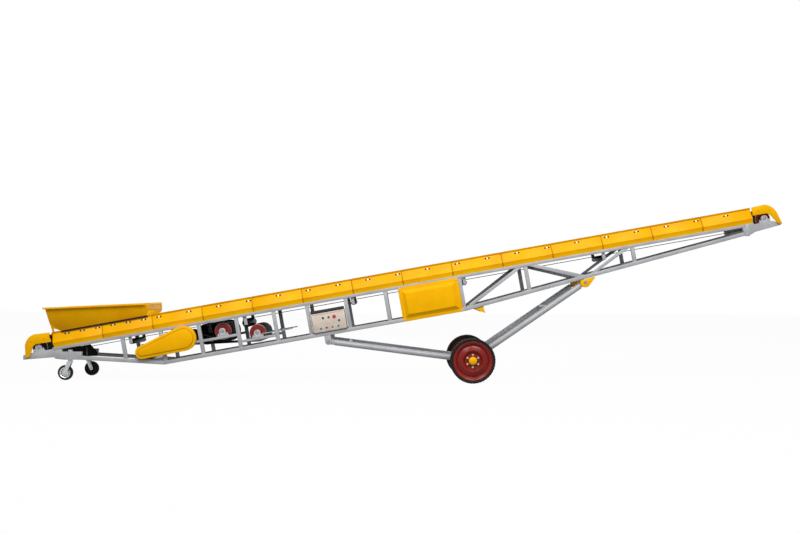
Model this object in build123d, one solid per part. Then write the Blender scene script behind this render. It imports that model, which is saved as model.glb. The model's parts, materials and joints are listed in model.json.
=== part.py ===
from build123d import *
import os
from math import atan2, cos, degrees, hypot, pi, radians, sin, sqrt

# Mobile belt conveyor: a sloping truss boom with a troughed belt, side skirts, a
# loading hopper, a drive group, two castors and a wheeled lifting undercarriage.
# Millimetres, +Z up, +X from the tail (low end) to the head, ground at Z = 0.
# Boom pieces are drawn in the boom's own side view, (along, up) from the tail
# pulley's axis, and then placed at the boom's slope.

# Boom
boom_slope = 10.42           # degrees
tail_pulley_x = -4801.09
tail_pulley_z = 425.67
pulley_spacing = 9730.0
belt_width = 600.0
belt_side_room = 80.0        # belt's edge to the middle of the truss side
frame_half = belt_width / 2 + belt_side_room   # centre plane to the middle of each truss side
top_chord = 40.0
bottom_chord = 50.0
web_depth = 40.0             # posts and diagonals, across the boom
post_width = 50.0
diagonal_width = 40.0
deck = -32.0                 # top of the top chords
chord_bottom = -510.0        # underside of the level part of the bottom chords
top_chord_start = 181.0
top_chord_end = pulley_spacing - 275.0
chord_start = (530.0, -255.0)
chord_kink_tail = 1596.0
chord_kink_head = 5639.0
chord_end = (pulley_spacing - 297.0, -181.0)
weld_gap = 0.2
# Posts: the tail part has fixed places, and the head part shares its length.
tail_posts = (1111.0, 1622.0, 2130.0, 2632.0, 3133.0, 3582.0, 4100.0, 4631.0, 5130.0, 5628.0)
head_length = pulley_spacing - chord_kink_head
head_posts = (chord_kink_head + 0.2141 * head_length, chord_kink_head + 0.5646 * head_length)
strut_pivot_along = chord_kink_head + 0.3953 * head_length
web_gap = 16.0               # between a diagonal's head and its post
# Diagonals: foot along the bottom chord, post at the head, side of that post.
diagonals = ((chord_kink_head + 66.0, head_posts[0], -1), (strut_pivot_along - 46.0, head_posts[0], 1),
             (strut_pivot_along + 134.0, head_posts[1], -1))
cross_at = (1250.0, 1450.0, 2615.0, 3618.0, 4621.0, 5624.0) + head_posts
cross_share = 0.8            # depth of a cross member in the bottom chord's

# Belt, pulleys and drums
belt_thickness = 8.0
seat_gap = 0.3               # between parts that lie on each other
pulley_radius = 100.0
pulley_width = belt_width + 40.0
shaft_radius = 25.0
shaft_reach = frame_half + 19.0   # centre plane to the shaft's end
bearing_seat = -50.0         # top of the end plates under the bearings
pulley_flat = 20.0           # flat belt past each pulley's top
trough_past = 60.0           # trough past the end idlers
trough_floor = 60.0          # underside of the belt over the middle rolls
trough_flat = belt_width / 3
trough_wing = (belt_width - trough_flat) / 2
trough_angle = 30.0          # degrees

# Idlers
idler_first = 398.0
loading_pitch = 205.6
loading_count = 7
carrying_count = 19
idler_last = pulley_spacing - 487.0
roll_radius = 38.0
roll_side_gap = 5.0
idler_bar = 50.0             # along the boom
idler_sheet = 6.0
idler_reach = frame_half + 5.0    # half length of the cross bar
bracket_width = 40.0         # along the boom
# Return rollers: along, radius. The second is the snub roller over the take-up.
return_rollers = ((1208.0, 33.0), (2748.0, 50.0), (4190.0, 33.0), (5690.0, 33.0),
                  (chord_kink_head + 0.4696 * head_length, 33.0))
snub = 1
roller_half = belt_width / 2 + 30.0
roller_shaft = 12.0
hanger_sheet = 6.0
hanger_inside = frame_half - 14.0
hanger_width = 44.0

# Drive group
drive_drum = (1916.0, -214.0, 90.0)      # along, up, radius
bend_drum = (2426.0, -211.0, 112.0)
takeup_drum = (2876.0, -312.0, 112.0)
disc_thickness = 8.0
disc_margin = 5.0
rail_depth = 34.0
block_depth = 40.0
block_base = 150.0
block_base_height = 18.0
block_radius = 42.0
screw_radius = 9.0
screw_past_post = 209.0
screw_drop = 24.0
nut_size = 36.0
motor_shaft_at = (1346.0, -300.0)
motor_radius = 78.0
motor_length = 300.0
motor_face = 50.0 - frame_half    # across: drive end of the motor
motor_shaft_radius = 14.0
motor_plate = 12.0
motor_plate_half = frame_half + 16.0
guard_small = 86.0
guard_large = 165.0
guard_depth = 62.0
guard_line = 40.0            # edge to the pressed panel
guard_press = 7.0
# Gear cover on the far side, round two circles: along, up, radius.
gear_cover_ends = ((2070.0, -221.0, 147.0), (2400.0, -221.0, 147.0))
gear_cover_depth = 46.0

# Skirts, hopper and end guards
skirt_start = 200.0
skirt_end = pulley_spacing - 154.0
skirt_count = 14
skirt_gap = 4.0
skirt_sheet = 4.0
# Skirt section from the bottom up: outwards from the truss side, above the deck.
skirt_line = ((14.0, 0.0), (14.0, 15.0), (32.0, 61.0), (-22.0, 179.0), (-2.0, 203.0))
hopper_sheet = 5.0
hopper_rim_tail = (215.0, 496.0)
hopper_rim_head = (1510.0, 325.0)
hopper_foot_start = 330.0
hopper_corner = 110.0
hopper_flare = 0.4           # outwards for each unit of height
hopper_lip = 26.0
hopper_outlet = 60.0         # head wall's lower edge above the skirts
hopper_head_rise = 0.3       # foot of the side wall's head edge, as a share of its height
end_guard_depth = 20.0
end_guard_sheet = 4.0
plate_depth = 50.0           # end plates, across the boom
# End guards: lines and arcs as points from their pulley's axis.
tail_guard_edges = (((-180, -109), (-165, 29)), ((-165, 29), (-115, 135), (-7, 184)), ((-7, 184), (185, 172)),
                    ((185, 172), (185, 48)), ((185, 48), (0, 52)), ((0, 52), (-45, 38), (-75, 0)),
                    ((-75, 0), (-120, -90)), ((-120, -90), (-180, -109)))
head_guard_edges = (((-152, 172), (20, 180)), ((20, 180), (115, 128), (165, 50)), ((165, 50), (213, -112)),
                    ((213, -112), (160, -95)), ((160, -95), (100, -5)), ((100, -5), (65, 42), (10, 62)),
                    ((10, 62), (-152, 62)), ((-152, 62), (-152, 172)))

# Nameplate cover and control box
cover_start = 4803.0
cover_end = 5606.0
cover_top = -55.0
cover_sheet = 6.0
cover_bevel = 88.0
cover_rise = 42.0
box_post = 5                 # the control box fills the bay after this post
box_gap_tail = 9.0
box_gap_head = 11.0
box_height = 258.0
box_depth = 150.0
box_wall = 6.0
door_thickness = 18.0
door_gap = 1.0
door_sill = 6.0              # door's lower edge above the box's foot
hinge_radius = 7.0
hinge_length = 60.0
hinge_leaf = 3.0
hinge_grip = 30.0            # leaf along the box's side
button_radius = 13.0
button_height = 14.0
# Buttons and lamps on the door: share of its length, share of its height.
buttons = ((0.32, 0.76), (0.48, 0.76), (0.64, 0.76), (0.80, 0.60),
           (0.24, 0.24), (0.41, 0.24), (0.58, 0.24), (0.75, 0.24))

# Undercarriage
wheel_radius = 295.0
wheel_outset = 160.0         # truss side to the middle of each wheel
wheel_half_track = frame_half + wheel_outset
axle_x = 919.25
arm_pivot_along = 3782.0
arm_pivot_drop = 82.0        # under the bottom chord
strut_pivot_drop = 47.0
tube_radius = 38.0
cross_tube_radius = 30.0
lug_thickness = 20.0
ear_thickness = 12.0
ear_gap = 6.0
pin_radius = 15.0
pin_gap = 0.3
lug_radius = 34.0
strut_lug_radius = 25.0
hanger_radius = 42.0
tube_to_pin = 85.0
axle_radius = 32.0
axle_half = wheel_half_track - 70.0
spindle_radius = 25.0
axle_lug = 48.0
fork_thickness = 14.0
arm_cross_at = 266.0         # from the arm's upper pin
strut_cross_at = 593.0       # from the strut's upper pin
trolley_radius = 66.0
trolley_nose = 133.0
trolley_gap = 6.0
trolley_shoe = 10.0
stop_start = 5751.0
stop_end = 5887.0
stop_drop = 95.0
stop_thickness = 24.0

# Main wheels: sections as (radius, outwards from the wheel's middle)
tyre_bead = 242.0
tyre_side = 257.0
tyre_half = 64.0
tread_half = 40.0
rim_flange = 256.0
rim_half = 50.0
hub_radius = 62.0
hub_inner = -60.0
hub_face = 50.0
cap_radius = 50.0
cap_height = 34.0

# Castors and end sockets
castor_radius = 100.0
castor_tyre = 28.0
castor_width = 45.0
castor_trail = 62.0
castor_rise = 150.0          # wheel axle to the fork's top
castor_gap = 6.0
castor_axle = 9.0
castor_side_gap = 6.0
fork_sheet = 6.0
stem_radius = 14.0
stem_length = 120.0
socket_radius = 30.0
socket_length = 145.0
tail_socket = (394.0, -165.0)   # along, up: a point of the socket's axis
head_socket = (pulley_spacing - 240.0, -110.0)
head_socket_drop = 12.0
head_socket_bore = 15.0

slope = radians(boom_slope)
boom_place = Location((tail_pulley_x, 0, tail_pulley_z), (0, -boom_slope, 0))
skirt_top = deck + skirt_line[-1][1]
deck_under = deck - top_chord
side_out = frame_half + bottom_chord / 2
side_in = frame_half - bottom_chord / 2
nodes = {}


# Drawing helpers

def to_ground(along, up):
    """World X and Z of a point of the boom's side view."""
    x = tail_pulley_x + along * cos(slope) - up * sin(slope)
    z = tail_pulley_z + along * sin(slope) + up * cos(slope)
    return x, z


def line(*points):
    return make_face(Polyline(*points, close=True))


def slab(face, y_low, y_high):
    """Solid of a side-view face that spans y_low to y_high."""
    solid = extrude(face, amount=y_high - y_low, dir=(0, 0, 1))
    return Location((0, y_high, 0), (90, 0, 0)) * solid


def across(face, start, end):
    """Solid of a cross-section face, drawn as (across, up), from start to end along."""
    solid = extrude(face, amount=end - start, dir=(0, 0, 1))
    return Plane(origin=(start, 0, 0), x_dir=(0, 1, 0), z_dir=(1, 0, 0)).location * solid


def rod(along, up, radius, y_low, y_high):
    """Round bar across the boom."""
    place = Location((along, (y_low + y_high) / 2, up), (90, 0, 0))
    return place * Cylinder(radius, y_high - y_low)


def both(solid):
    """A near-side solid with its mirror image on the far side."""
    return [solid, mirror(solid, about=Plane.XZ)]


def moved_line(points, distance):
    """An open line moved to its left, with mitred corners."""
    normals = []
    for (x1, y1), (x2, y2) in zip(points, points[1:]):
        length = hypot(x2 - x1, y2 - y1)
        normals.append(((y1 - y2) / length, (x2 - x1) / length))
    firsts = [normals[0]] + normals
    seconds = normals + [normals[-1]]
    moved = []
    for (x, y), (ax, ay), (bx, by) in zip(points, firsts, seconds):
        share = distance / (1 + ax * bx + ay * by)
        moved.append((x + (ax + bx) * share, y + (ay + by) * share))
    return moved


def sheet(points, thickness):
    """Face of a folded sheet whose thickness lies to the left of its line."""
    return line(*points, *reversed(moved_line(points, thickness)))


def height_on(points, along):
    """Height of an open line at a place along it."""
    for (x1, y1), (x2, y2) in zip(points, points[1:]):
        if along <= x2 or (x2, y2) == points[-1]:
            return y1 + (y2 - y1) * (along - x1) / (x2 - x1)


def rounded_hull(first, second):
    """Face round two circles (along, up, radius) and the lines that touch both."""
    return make_hull((Pos(*first[:2]) * Circle(first[2])).edges()
                     + (Pos(*second[:2]) * Circle(second[2])).edges())


def in_boom(solids):
    return [boom_place * solid for solid in solids]


def add(name, solids):
    nodes[name] = Compound(children=list(solids))


# Truss

chord_low = [chord_start, (chord_kink_tail, chord_bottom), (chord_kink_head, chord_bottom), chord_end]
chord_high = moved_line(chord_low, bottom_chord)


def top_chords():
    length = top_chord_end - top_chord_start
    bar = Box(length, top_chord, top_chord)
    return both(Pos(top_chord_start + length / 2, -frame_half, deck - top_chord / 2) * bar)


def bottom_chords():
    bars = []
    for i in range(3):
        (x1, y1), (x2, y2) = chord_low[i], chord_low[i + 1]
        (x3, y3), (x4, y4) = chord_high[i + 1], chord_high[i]
        length = hypot(x2 - x1, y2 - y1)
        dx = (x2 - x1) / length * weld_gap / 2
        dy = (y2 - y1) / length * weld_gap / 2
        face = line((x1 + dx, y1 + dy), (x2 - dx, y2 - dy), (x3 - dx, y3 - dy), (x4 + dx, y4 + dy))
        bars += both(slab(face, -side_out, -side_in))
    return bars


def web(low, high, half):
    """Post or diagonal between the chords, with ends cut to lie on them."""
    face = line((low - half, height_on(chord_high, low - half)),
                (low + half, height_on(chord_high, low + half)),
                (high + half, deck_under), (high - half, deck_under))
    return both(slab(face, -frame_half - web_depth / 2, -frame_half + web_depth / 2))


post_places = tail_posts + head_posts
box_start = post_places[box_post] + post_width / 2 + box_gap_tail
box_length = post_places[box_post + 1] - post_width / 2 - box_gap_head - box_start


def truss_posts():
    return [post for at in post_places for post in web(at, at, post_width / 2)]


def truss_diagonals():
    """Bars whose heads lie beside a post, cut level with the top chord."""
    bars = []
    for low, post, way in diagonals:
        face = post + way * (post_width / 2 + web_gap)
        rise = deck_under - height_on(chord_high, low)
        half = diagonal_width / 2 * hypot(face - low, rise) / rise
        bars += web(low, face + way * half, half)
    return bars


def cross_members():
    bars = []
    for at in cross_at:
        middle = (height_on(chord_low, at) + height_on(chord_high, at)) / 2
        turn = degrees(atan2(height_on(chord_low, at + 1) - height_on(chord_low, at), 1))
        bar = Box(bottom_chord, 2 * side_in, bottom_chord * cross_share)
        bars.append(Location((at, 0, middle), (0, -turn, 0)) * bar)
    return bars


# End plates with their sockets

def square_end(point, other, height):
    """Point at a height over a chord's end, square to that chord."""
    length = hypot(other[0] - point[0], other[1] - point[1])
    nx = -(other[1] - point[1]) / length
    ny = (other[0] - point[0]) / length
    return point[0] + nx * height, point[1] + ny * height


def socketed(face, place, foot_z, bore):
    """End plates on both sides, each with an upright socket tube through it."""
    x = to_ground(*place)[0]
    plates = []
    for plate in both(slab(face, -side_out, -side_out + plate_depth)):
        y = -frame_half if plate.center().Y < 0 else frame_half
        tube = Pos(x, y, foot_z + socket_length / 2) * Cylinder(socket_radius, socket_length)
        hole = Pos(x, y, foot_z + socket_length / 2) * Cylinder(bore, socket_length + 2)
        plates.append(boom_place * plate + tube - hole)
    return plates, x


castor_top = castor_radius + castor_rise
tail_socket_foot = castor_top + castor_gap


def tail_side_plates():
    block_top = square_end(chord_low[0], chord_low[1], 106)
    face = line((-222, -121), (-212, -63), (-130, bearing_seat), (top_chord_start, bearing_seat),
                (top_chord_start, deck_under), (300, deck_under), (300, -107), block_top,
                chord_start, (310, -216), (195, -182), (186, -160))
    return socketed(face, tail_socket, tail_socket_foot, stem_radius + pin_gap)


def head_side_plates():
    (x1, y1), (x2, y2) = chord_low[-1], chord_low[-2]
    corner = x1 - (deck_under - y1) * (y1 - y2) / (x1 - x2)
    head = pulley_spacing
    face = line(chord_end, (corner, deck_under), (top_chord_end, deck_under), (top_chord_end, deck),
                (skirt_end, deck), (skirt_end, bearing_seat), (head + 105, bearing_seat),
                (head + 198, -105), (head + 195, -121), (head - 158, -155), (head - 205, -178))
    foot = to_ground(head_socket[0], chord_end[1])[1] - head_socket_drop
    return socketed(face, head_socket, foot, head_socket_bore)


# Belt loop: drums as along, up, radius to the belt's middle, turn (+1 anticlockwise)

def belt_radius(radius):
    return radius + seat_gap + belt_thickness / 2


return_level = -belt_radius(pulley_radius)
snub_along, snub_radius = return_rollers[snub]
snub_drum = (snub_along, return_level - belt_radius(snub_radius), snub_radius)
loop = [(pulley_spacing, 0.0, belt_radius(pulley_radius), -1),
        (snub_drum[0], snub_drum[1], belt_radius(snub_radius), 1),
        (takeup_drum[0], takeup_drum[1], belt_radius(takeup_drum[2]), -1),
        (drive_drum[0], drive_drum[1], belt_radius(drive_drum[2]), -1),
        (bend_drum[0], bend_drum[1], belt_radius(bend_drum[2]), 1),
        (0.0, 0.0, belt_radius(pulley_radius), -1)]


def tangent(first, second):
    """Points where the belt leaves one drum and reaches the next."""
    x1, y1, r1, turn1 = first
    x2, y2, r2, turn2 = second
    shift = turn2 * r2 - turn1 * r1
    run = sqrt((x2 - x1) ** 2 + (y2 - y1) ** 2 - shift ** 2)
    angle = atan2(y2 - y1, x2 - x1) - atan2(shift, run)
    nx, ny = -sin(angle), cos(angle)
    return (x1 - nx * turn1 * r1, y1 - ny * turn1 * r1), (x2 - nx * turn2 * r2, y2 - ny * turn2 * r2)


runs = [tangent(first, second) for first, second in zip(loop, loop[1:])]


def belt_return_runs():
    half = belt_thickness / 2
    bands = []
    for start, end in runs:
        low = moved_line([start, end], -half)
        high = moved_line([start, end], half)
        bands.append(slab(line(*low, *reversed(high)), -belt_width / 2, belt_width / 2))
    return bands


def ring_sector(drum, start, end):
    """Belt bent round a drum between two points of its path."""
    x, y, radius, turn = drum
    first = atan2(start[1] - y, start[0] - x)
    sweep = (turn * (atan2(end[1] - y, end[0] - x) - first)) % (2 * pi)

    def at(share, reach):
        angle = first + turn * sweep * share
        return x + reach * cos(angle), y + reach * sin(angle)

    inner = radius - belt_thickness / 2
    outer = radius + belt_thickness / 2
    edge = Curve() + [ThreePointArc(at(0, inner), at(0.5, inner), at(1, inner)),
                      Line(at(1, inner), at(1, outer)),
                      ThreePointArc(at(1, outer), at(0.5, outer), at(0, outer)),
                      Line(at(0, outer), at(0, inner))]
    return slab(make_face(edge), -belt_width / 2, belt_width / 2)


def belt_drum_wraps():
    starts = [(pulley_spacing, -return_level)] + [end for _, end in runs]
    ends = [start for start, _ in runs] + [(0.0, -return_level)]
    return [ring_sector(drum, start, end) for drum, start, end in zip(loop, starts, ends)]


idler_places = [idler_first + loading_pitch * i for i in range(loading_count)]
carrying_pitch = (idler_last - idler_places[-1]) / carrying_count
idler_places += [idler_places[-1] + carrying_pitch * (i + 1) for i in range(carrying_count)]
wing = radians(trough_angle)
fold = trough_flat / 2
wing_out = trough_wing * cos(wing)
wing_up = trough_wing * sin(wing)
trough_edge = (fold + wing_out, trough_floor + wing_up)


def belt_carrying_run():
    """Troughed belt between the end idlers, and its flat-to-trough ends."""
    y, z = trough_edge
    trough = [(-y, z), (-fold, trough_floor), (fold, trough_floor), (y, z)]
    level = -return_level - belt_thickness / 2
    flat = [(-belt_width / 2, level), (-fold, level), (fold, level), (belt_width / 2, level)]
    start = idler_places[0] - trough_past
    end = idler_places[-1] + trough_past

    def section(points, along):
        plane = Plane(origin=(along, 0, 0), x_dir=(0, 1, 0), z_dir=(1, 0, 0))
        return plane * sheet(points, belt_thickness)

    return [across(sheet(trough, belt_thickness), start + weld_gap, end - weld_gap),
            loft([section(flat, weld_gap), section(flat, pulley_flat), section(trough, start)], ruled=True),
            loft([section(trough, end), section(flat, pulley_spacing - pulley_flat),
                  section(flat, pulley_spacing - weld_gap)], ruled=True)]


# Idlers and return rollers

def wing_point(along_wing, below):
    """Across and up of a point under the belt's wing."""
    return (fold + along_wing * cos(wing) + below * sin(wing),
            trough_floor + along_wing * sin(wing) - below * cos(wing))


roll_drop = roll_radius + seat_gap
roll_end = trough_wing - roll_side_gap
centre_half = fold - roll_side_gap


def trough_idler_rolls():
    middle = Location((0, 0, trough_floor - roll_drop), (90, 0, 0)) * Cylinder(roll_radius, 2 * centre_half)
    y, z = wing_point((roll_side_gap + roll_end) / 2, roll_drop)
    side = Location((0, y, z), (90 + trough_angle, 0, 0)) * Cylinder(roll_radius, roll_end - roll_side_gap)
    rolls = [middle, side, mirror(side, about=Plane.XZ)]
    return [Pos(at, 0, 0) * roll for at in idler_places for roll in rolls]


idler_bar_top = deck + idler_sheet


def idler_cross_bars():
    bar = line((-idler_reach, deck), (idler_reach, deck),
               (idler_reach, idler_bar_top), (-idler_reach, idler_bar_top))
    solid = across(bar, -idler_bar / 2, idler_bar / 2)
    return [Pos(at, 0, 0) * solid for at in idler_places]


def idler_roll_brackets():
    """Inner blocks and bent outer plates that hold the rolls of each idler."""
    inner_low = wing_point(roll_side_gap - seat_gap, roll_drop + roll_radius)
    inner_high = wing_point(roll_side_gap - seat_gap, roll_drop)
    near = centre_half + seat_gap
    inner = line((near, idler_bar_top), (inner_low[0], idler_bar_top), inner_low, inner_high,
                 (near, inner_high[1]))
    top = wing_point(roll_end + seat_gap, roll_drop - roll_radius / 2)
    bend = wing_point(roll_end + seat_gap, roll_drop + roll_radius)
    outer = sheet([top, bend, (bend[0], idler_bar_top)], idler_sheet)
    half = bracket_width / 2
    solids = both(across(inner, -half, half)) + both(across(outer, -half, half))
    return [Pos(at, 0, 0) * solid for at in idler_places for solid in solids]


def belt_underside(along):
    """Underside of the return belt: the tail run, or the long run to the head."""
    start, end = runs[-1] if along < drive_drum[0] else runs[0]
    middle = start[1] + (end[1] - start[1]) * (along - start[0]) / (end[0] - start[0])
    return middle - belt_thickness / 2 - seat_gap


def return_roller_set():
    rollers = []
    brackets = []
    reach = hanger_inside - seat_gap
    for at, radius in return_rollers:
        up = belt_underside(at) - radius
        shell = rod(at, up, radius, -roller_half, roller_half)
        rollers.append(shell + rod(at, up, roller_shaft, -reach, reach))
        foot = up - 2 * roller_shaft
        face = line((at - hanger_width / 2, deck_under), (at - hanger_width / 2, foot),
                    (at + hanger_width / 2, foot), (at + hanger_width / 2, deck_under))
        brackets += both(slab(face, -hanger_inside - hanger_sheet, -hanger_inside))
    return rollers, brackets


# Pulleys, drums and their bearings

def drum(along, up, radius, reach=shaft_reach):
    shell = rod(along, up, radius, -pulley_width / 2, pulley_width / 2)
    return shell + rod(along, up, shaft_radius, -reach, shaft_reach)


def drum_discs(drums):
    """Dished end discs beside the drums, round their shafts."""
    discs = []
    start = -pulley_width / 2 - disc_thickness
    for along, up, radius in drums:
        disc = rod(along, up, radius - disc_margin, start, start + disc_thickness)
        discs += both(disc - rod(along, up, shaft_radius + seat_gap, start - 1, start + disc_thickness + 1))
    return discs


def bearing_block(along, up, seat):
    """Pillow block on a level seat, bored for the shaft."""
    low = -frame_half - block_depth / 2
    high = low + block_depth
    base = line((along - block_base / 2, seat), (along + block_base / 2, seat),
                (along + block_base / 2, seat + block_base_height),
                (along - block_base / 2, seat + block_base_height))
    body = line((along - block_radius, seat), (along + block_radius, seat),
                (along + block_radius, up), (along - block_radius, up))
    body += Pos(along, up) * Circle(block_radius)
    body -= Pos(along, up) * Circle(shaft_radius + seat_gap)
    hole = Pos(along, up) * Circle(shaft_radius + seat_gap)
    return both(slab(base + body - hole, low, high))


end_drums = [(0.0, 0.0, pulley_radius), (pulley_spacing, 0.0, pulley_radius)]
inner_drums = [drive_drum, bend_drum, takeup_drum]
drive_rail = drive_drum[1] - block_radius - block_base_height
takeup_rail = takeup_drum[1] - block_radius - block_base_height
# Rails: post before, post after, top.
rails = ((1, 2, drive_rail), (2, 3, drive_rail), (3, 4, takeup_rail))


def drum_rails():
    bars = []
    for before, after, top in rails:
        start = post_places[before] + post_width / 2
        end = post_places[after] - post_width / 2
        face = line((start, top - rail_depth), (end, top - rail_depth), (end, top), (start, top))
        bars += both(slab(face, -frame_half - web_depth / 2, -frame_half + web_depth / 2))
    return bars


def takeup_screws():
    """Screw rods from the take-up blocks through nuts on the next posts."""
    inside = frame_half - web_depth / 2
    y = -inside + nut_size / 2
    up = takeup_drum[1] - screw_drop
    start = takeup_drum[0] + block_radius + seat_gap
    rod_length = post_places[4] + screw_past_post - start
    screw = Location((start + rod_length / 2, y, up), (0, 90, 0)) * Cylinder(screw_radius, rod_length)
    nut = Pos(post_places[4], y, up) * Box(post_width, nut_size, nut_size)
    return both(screw + nut)


# Drive: motor on its plate and the belt guard

def drive_motor():
    x, z = motor_shaft_at
    body = rod(x, z, motor_radius, motor_face, motor_face + motor_length)
    fan_cover = rod(x, z, motor_radius * 0.9, motor_face + motor_length, motor_face + motor_length + 60)
    shaft = rod(x, z, motor_shaft_radius, -frame_half - web_depth / 2 + seat_gap, motor_face)
    foot_top = z - motor_radius * 0.6
    half = motor_radius
    plate_top = motor_plate_line()
    foot = line((x - half, height_on(plate_top, x - half)), (x + half, height_on(plate_top, x + half)),
                (x + half, foot_top), (x - half, foot_top))
    return [body + fan_cover + shaft + slab(foot, motor_face + 40, motor_face + motor_length - 40)]


def motor_plate_line():
    start = (cross_at[0] - bottom_chord / 2, height_on(chord_high, cross_at[0] - bottom_chord / 2))
    end = (cross_at[1] + bottom_chord / 2, height_on(chord_high, cross_at[1] + bottom_chord / 2))
    return moved_line([start, end], motor_plate)


def motor_base():
    top = motor_plate_line()
    low = moved_line(top, -motor_plate)
    return [slab(line(*low, *reversed(top)), -motor_plate_half, motor_plate_half)]


def drive_guard():
    """Teardrop belt guard with a pressed inner panel, bolted to the post behind it."""
    back = -frame_half - web_depth / 2
    small = (*motor_shaft_at, guard_small)
    large = (*drive_drum[:2], guard_large)
    pan = slab(rounded_hull(small, large), back - guard_depth, back)
    small = (*motor_shaft_at, guard_small - guard_line)
    large = (*drive_drum[:2], guard_large - guard_line)
    return [pan + slab(rounded_hull(small, large), back - guard_depth - guard_press, back - guard_depth)]


def gear_cover():
    """Oblong cover over the drums' gears, outside the far posts."""
    back = frame_half + web_depth / 2
    return [slab(rounded_hull(*gear_cover_ends), back, back + gear_cover_depth)]


# Skirts, hopper and end guards

def skirt_panels():
    pitch = (skirt_end - skirt_start) / skirt_count
    points = [(-frame_half - out, deck + up) for out, up in skirt_line]
    face = sheet(points, -skirt_sheet)
    joints = [skirt_start + pitch * i for i in range(skirt_count + 1)]
    return [across(face, start + skirt_gap / 2, end - skirt_gap / 2)
            for start, end in zip(joints, joints[1:])]


hopper_foot = skirt_top + seat_gap
hopper_foot_side = frame_half + skirt_line[-1][0]


def rim_height(along):
    (x1, z1), (x2, z2) = hopper_rim_tail, hopper_rim_head
    return z1 + (z2 - z1) * (along - x1) / (x2 - x1)


def wall_side(height):
    """Distance of a hopper side wall from the centre plane at a height."""
    return hopper_foot_side + hopper_flare * (height - hopper_foot)


def flat_plate(points, thickness):
    """Solid plate on a flat outline in space, thickened along its normal."""
    face = Face(Wire.make_polygon([Vector(*p) for p in points], close=True))
    return extrude(face, amount=thickness)


def hopper_walls():
    """Flared side walls with folded rims, a short tail wall and a head wall over the outlet."""
    tail, head = hopper_rim_tail[0], hopper_rim_head[0]
    corner = hopper_foot + hopper_corner
    start = tail + weld_gap
    end = head - weld_gap
    rise = rim_height(end) * hopper_head_rise + hopper_foot * (1 - hopper_head_rise)
    foot_end = end - (rise - hopper_foot)

    def at(along, height):
        return along, -wall_side(height), height

    side = flat_plate([at(hopper_foot_start, hopper_foot), at(foot_end, hopper_foot), at(end, rise),
                       at(end, rim_height(end)), at(start, rim_height(start)), at(start, corner)],
                      hopper_sheet)
    (x1, z1), (x2, z2) = hopper_rim_tail, hopper_rim_head
    x1 -= hopper_lip
    tail_side = wall_side(z1)
    rim = flat_plate([(x1, -tail_side - hopper_lip, rim_height(x1)), (x2, -wall_side(z2) - hopper_lip, z2),
                      (x2, -wall_side(z2) + hopper_sheet, z2),
                      (x1, -tail_side + hopper_sheet, rim_height(x1))],
                     hopper_sheet)
    rim = Pos(0, 0, weld_gap) * rim

    def end_wall(low, high, start, inset):
        return across(line((-wall_side(low) + inset, low), (wall_side(low) - inset, low),
                           (wall_side(high) - inset, high), (-wall_side(high) + inset, high)),
                      start, start + hopper_sheet)

    tail_wall = end_wall(corner, z1, tail - hopper_sheet, hopper_sheet)
    head_wall = end_wall(hopper_foot + hopper_outlet, z2, head, 0)
    return both(side) + both(rim) + [tail_wall, head_wall]


def guard_pan(face):
    """Shallow pressed pan on the outside of the end plates, closed on its outer face."""
    pan = slab(face, -side_out - end_guard_depth, -side_out)
    inner = offset(face, amount=-end_guard_sheet)
    return both(pan - slab(inner, -side_out - end_guard_depth + end_guard_sheet, -side_out + 1))


def guard_face(edges, along):
    """Face inside a row of lines (two points) and arcs (three points)."""
    curve = Curve()
    for points in edges:
        placed = [(x + along, z) for x, z in points]
        curve += Line(*placed) if len(placed) == 2 else ThreePointArc(*placed)
    return make_face(curve)


def tail_guard():
    return guard_pan(guard_face(tail_guard_edges, 0))


def head_guard():
    return guard_pan(guard_face(head_guard_edges, pulley_spacing))


# Nameplate cover and control box

def nameplate_cover():
    back = -side_out
    face = line((cover_start, chord_bottom), (cover_end, chord_bottom), (cover_end, cover_top),
                (cover_start, cover_top))
    base = slab(face, back - cover_sheet, back)
    length = cover_end - cover_start
    height = cover_top - chord_bottom
    front = Plane(origin=((cover_start + cover_end) / 2, back - cover_sheet, (cover_top + chord_bottom) / 2),
                  x_dir=(1, 0, 0), z_dir=(0, -1, 0))
    raised = loft([front * Rectangle(length - cover_bevel, height - cover_bevel),
                   front.offset(cover_rise) * Rectangle(length - 2 * cover_bevel, height - 2 * cover_bevel)])
    return [base + raised]


box_floor = chord_bottom + bottom_chord
box_front = -side_out
hinge_along = box_start - hinge_radius
hinge_across = box_front - door_gap - door_thickness / 2
hinge_middle = box_floor + box_height / 2


def upright_block(u_low, u_high, y_low, y_high, z_low, z_high):
    middle = Pos((u_low + u_high) / 2, (y_low + y_high) / 2, (z_low + z_high) / 2)
    return middle * Box(u_high - u_low, y_high - y_low, z_high - z_low)


def knuckle(z_low, z_high):
    return Pos(hinge_along, hinge_across, (z_low + z_high) / 2) * Cylinder(hinge_radius, z_high - z_low)


def control_box():
    """Open-fronted box on the bottom chord, with two hinge knuckles on its tail side."""
    end = box_start + box_length
    back = box_front + box_depth
    top = box_floor + box_height
    box = upright_block(box_start, end, box_front, back, box_floor, top)
    box -= upright_block(box_start + box_wall, end - box_wall, box_front - 1, back - box_wall,
                         box_floor + box_wall, top - box_wall)
    low = hinge_middle - hinge_length / 2 - seat_gap
    high = hinge_middle + hinge_length / 2 + seat_gap
    for z_low, z_high in ((low - hinge_length, low), (high, high + hinge_length)):
        box += upright_block(hinge_along - hinge_leaf / 2, box_start, hinge_across, box_front + hinge_grip,
                             z_low, z_high)
        box += knuckle(z_low, z_high)
    return [box]


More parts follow.
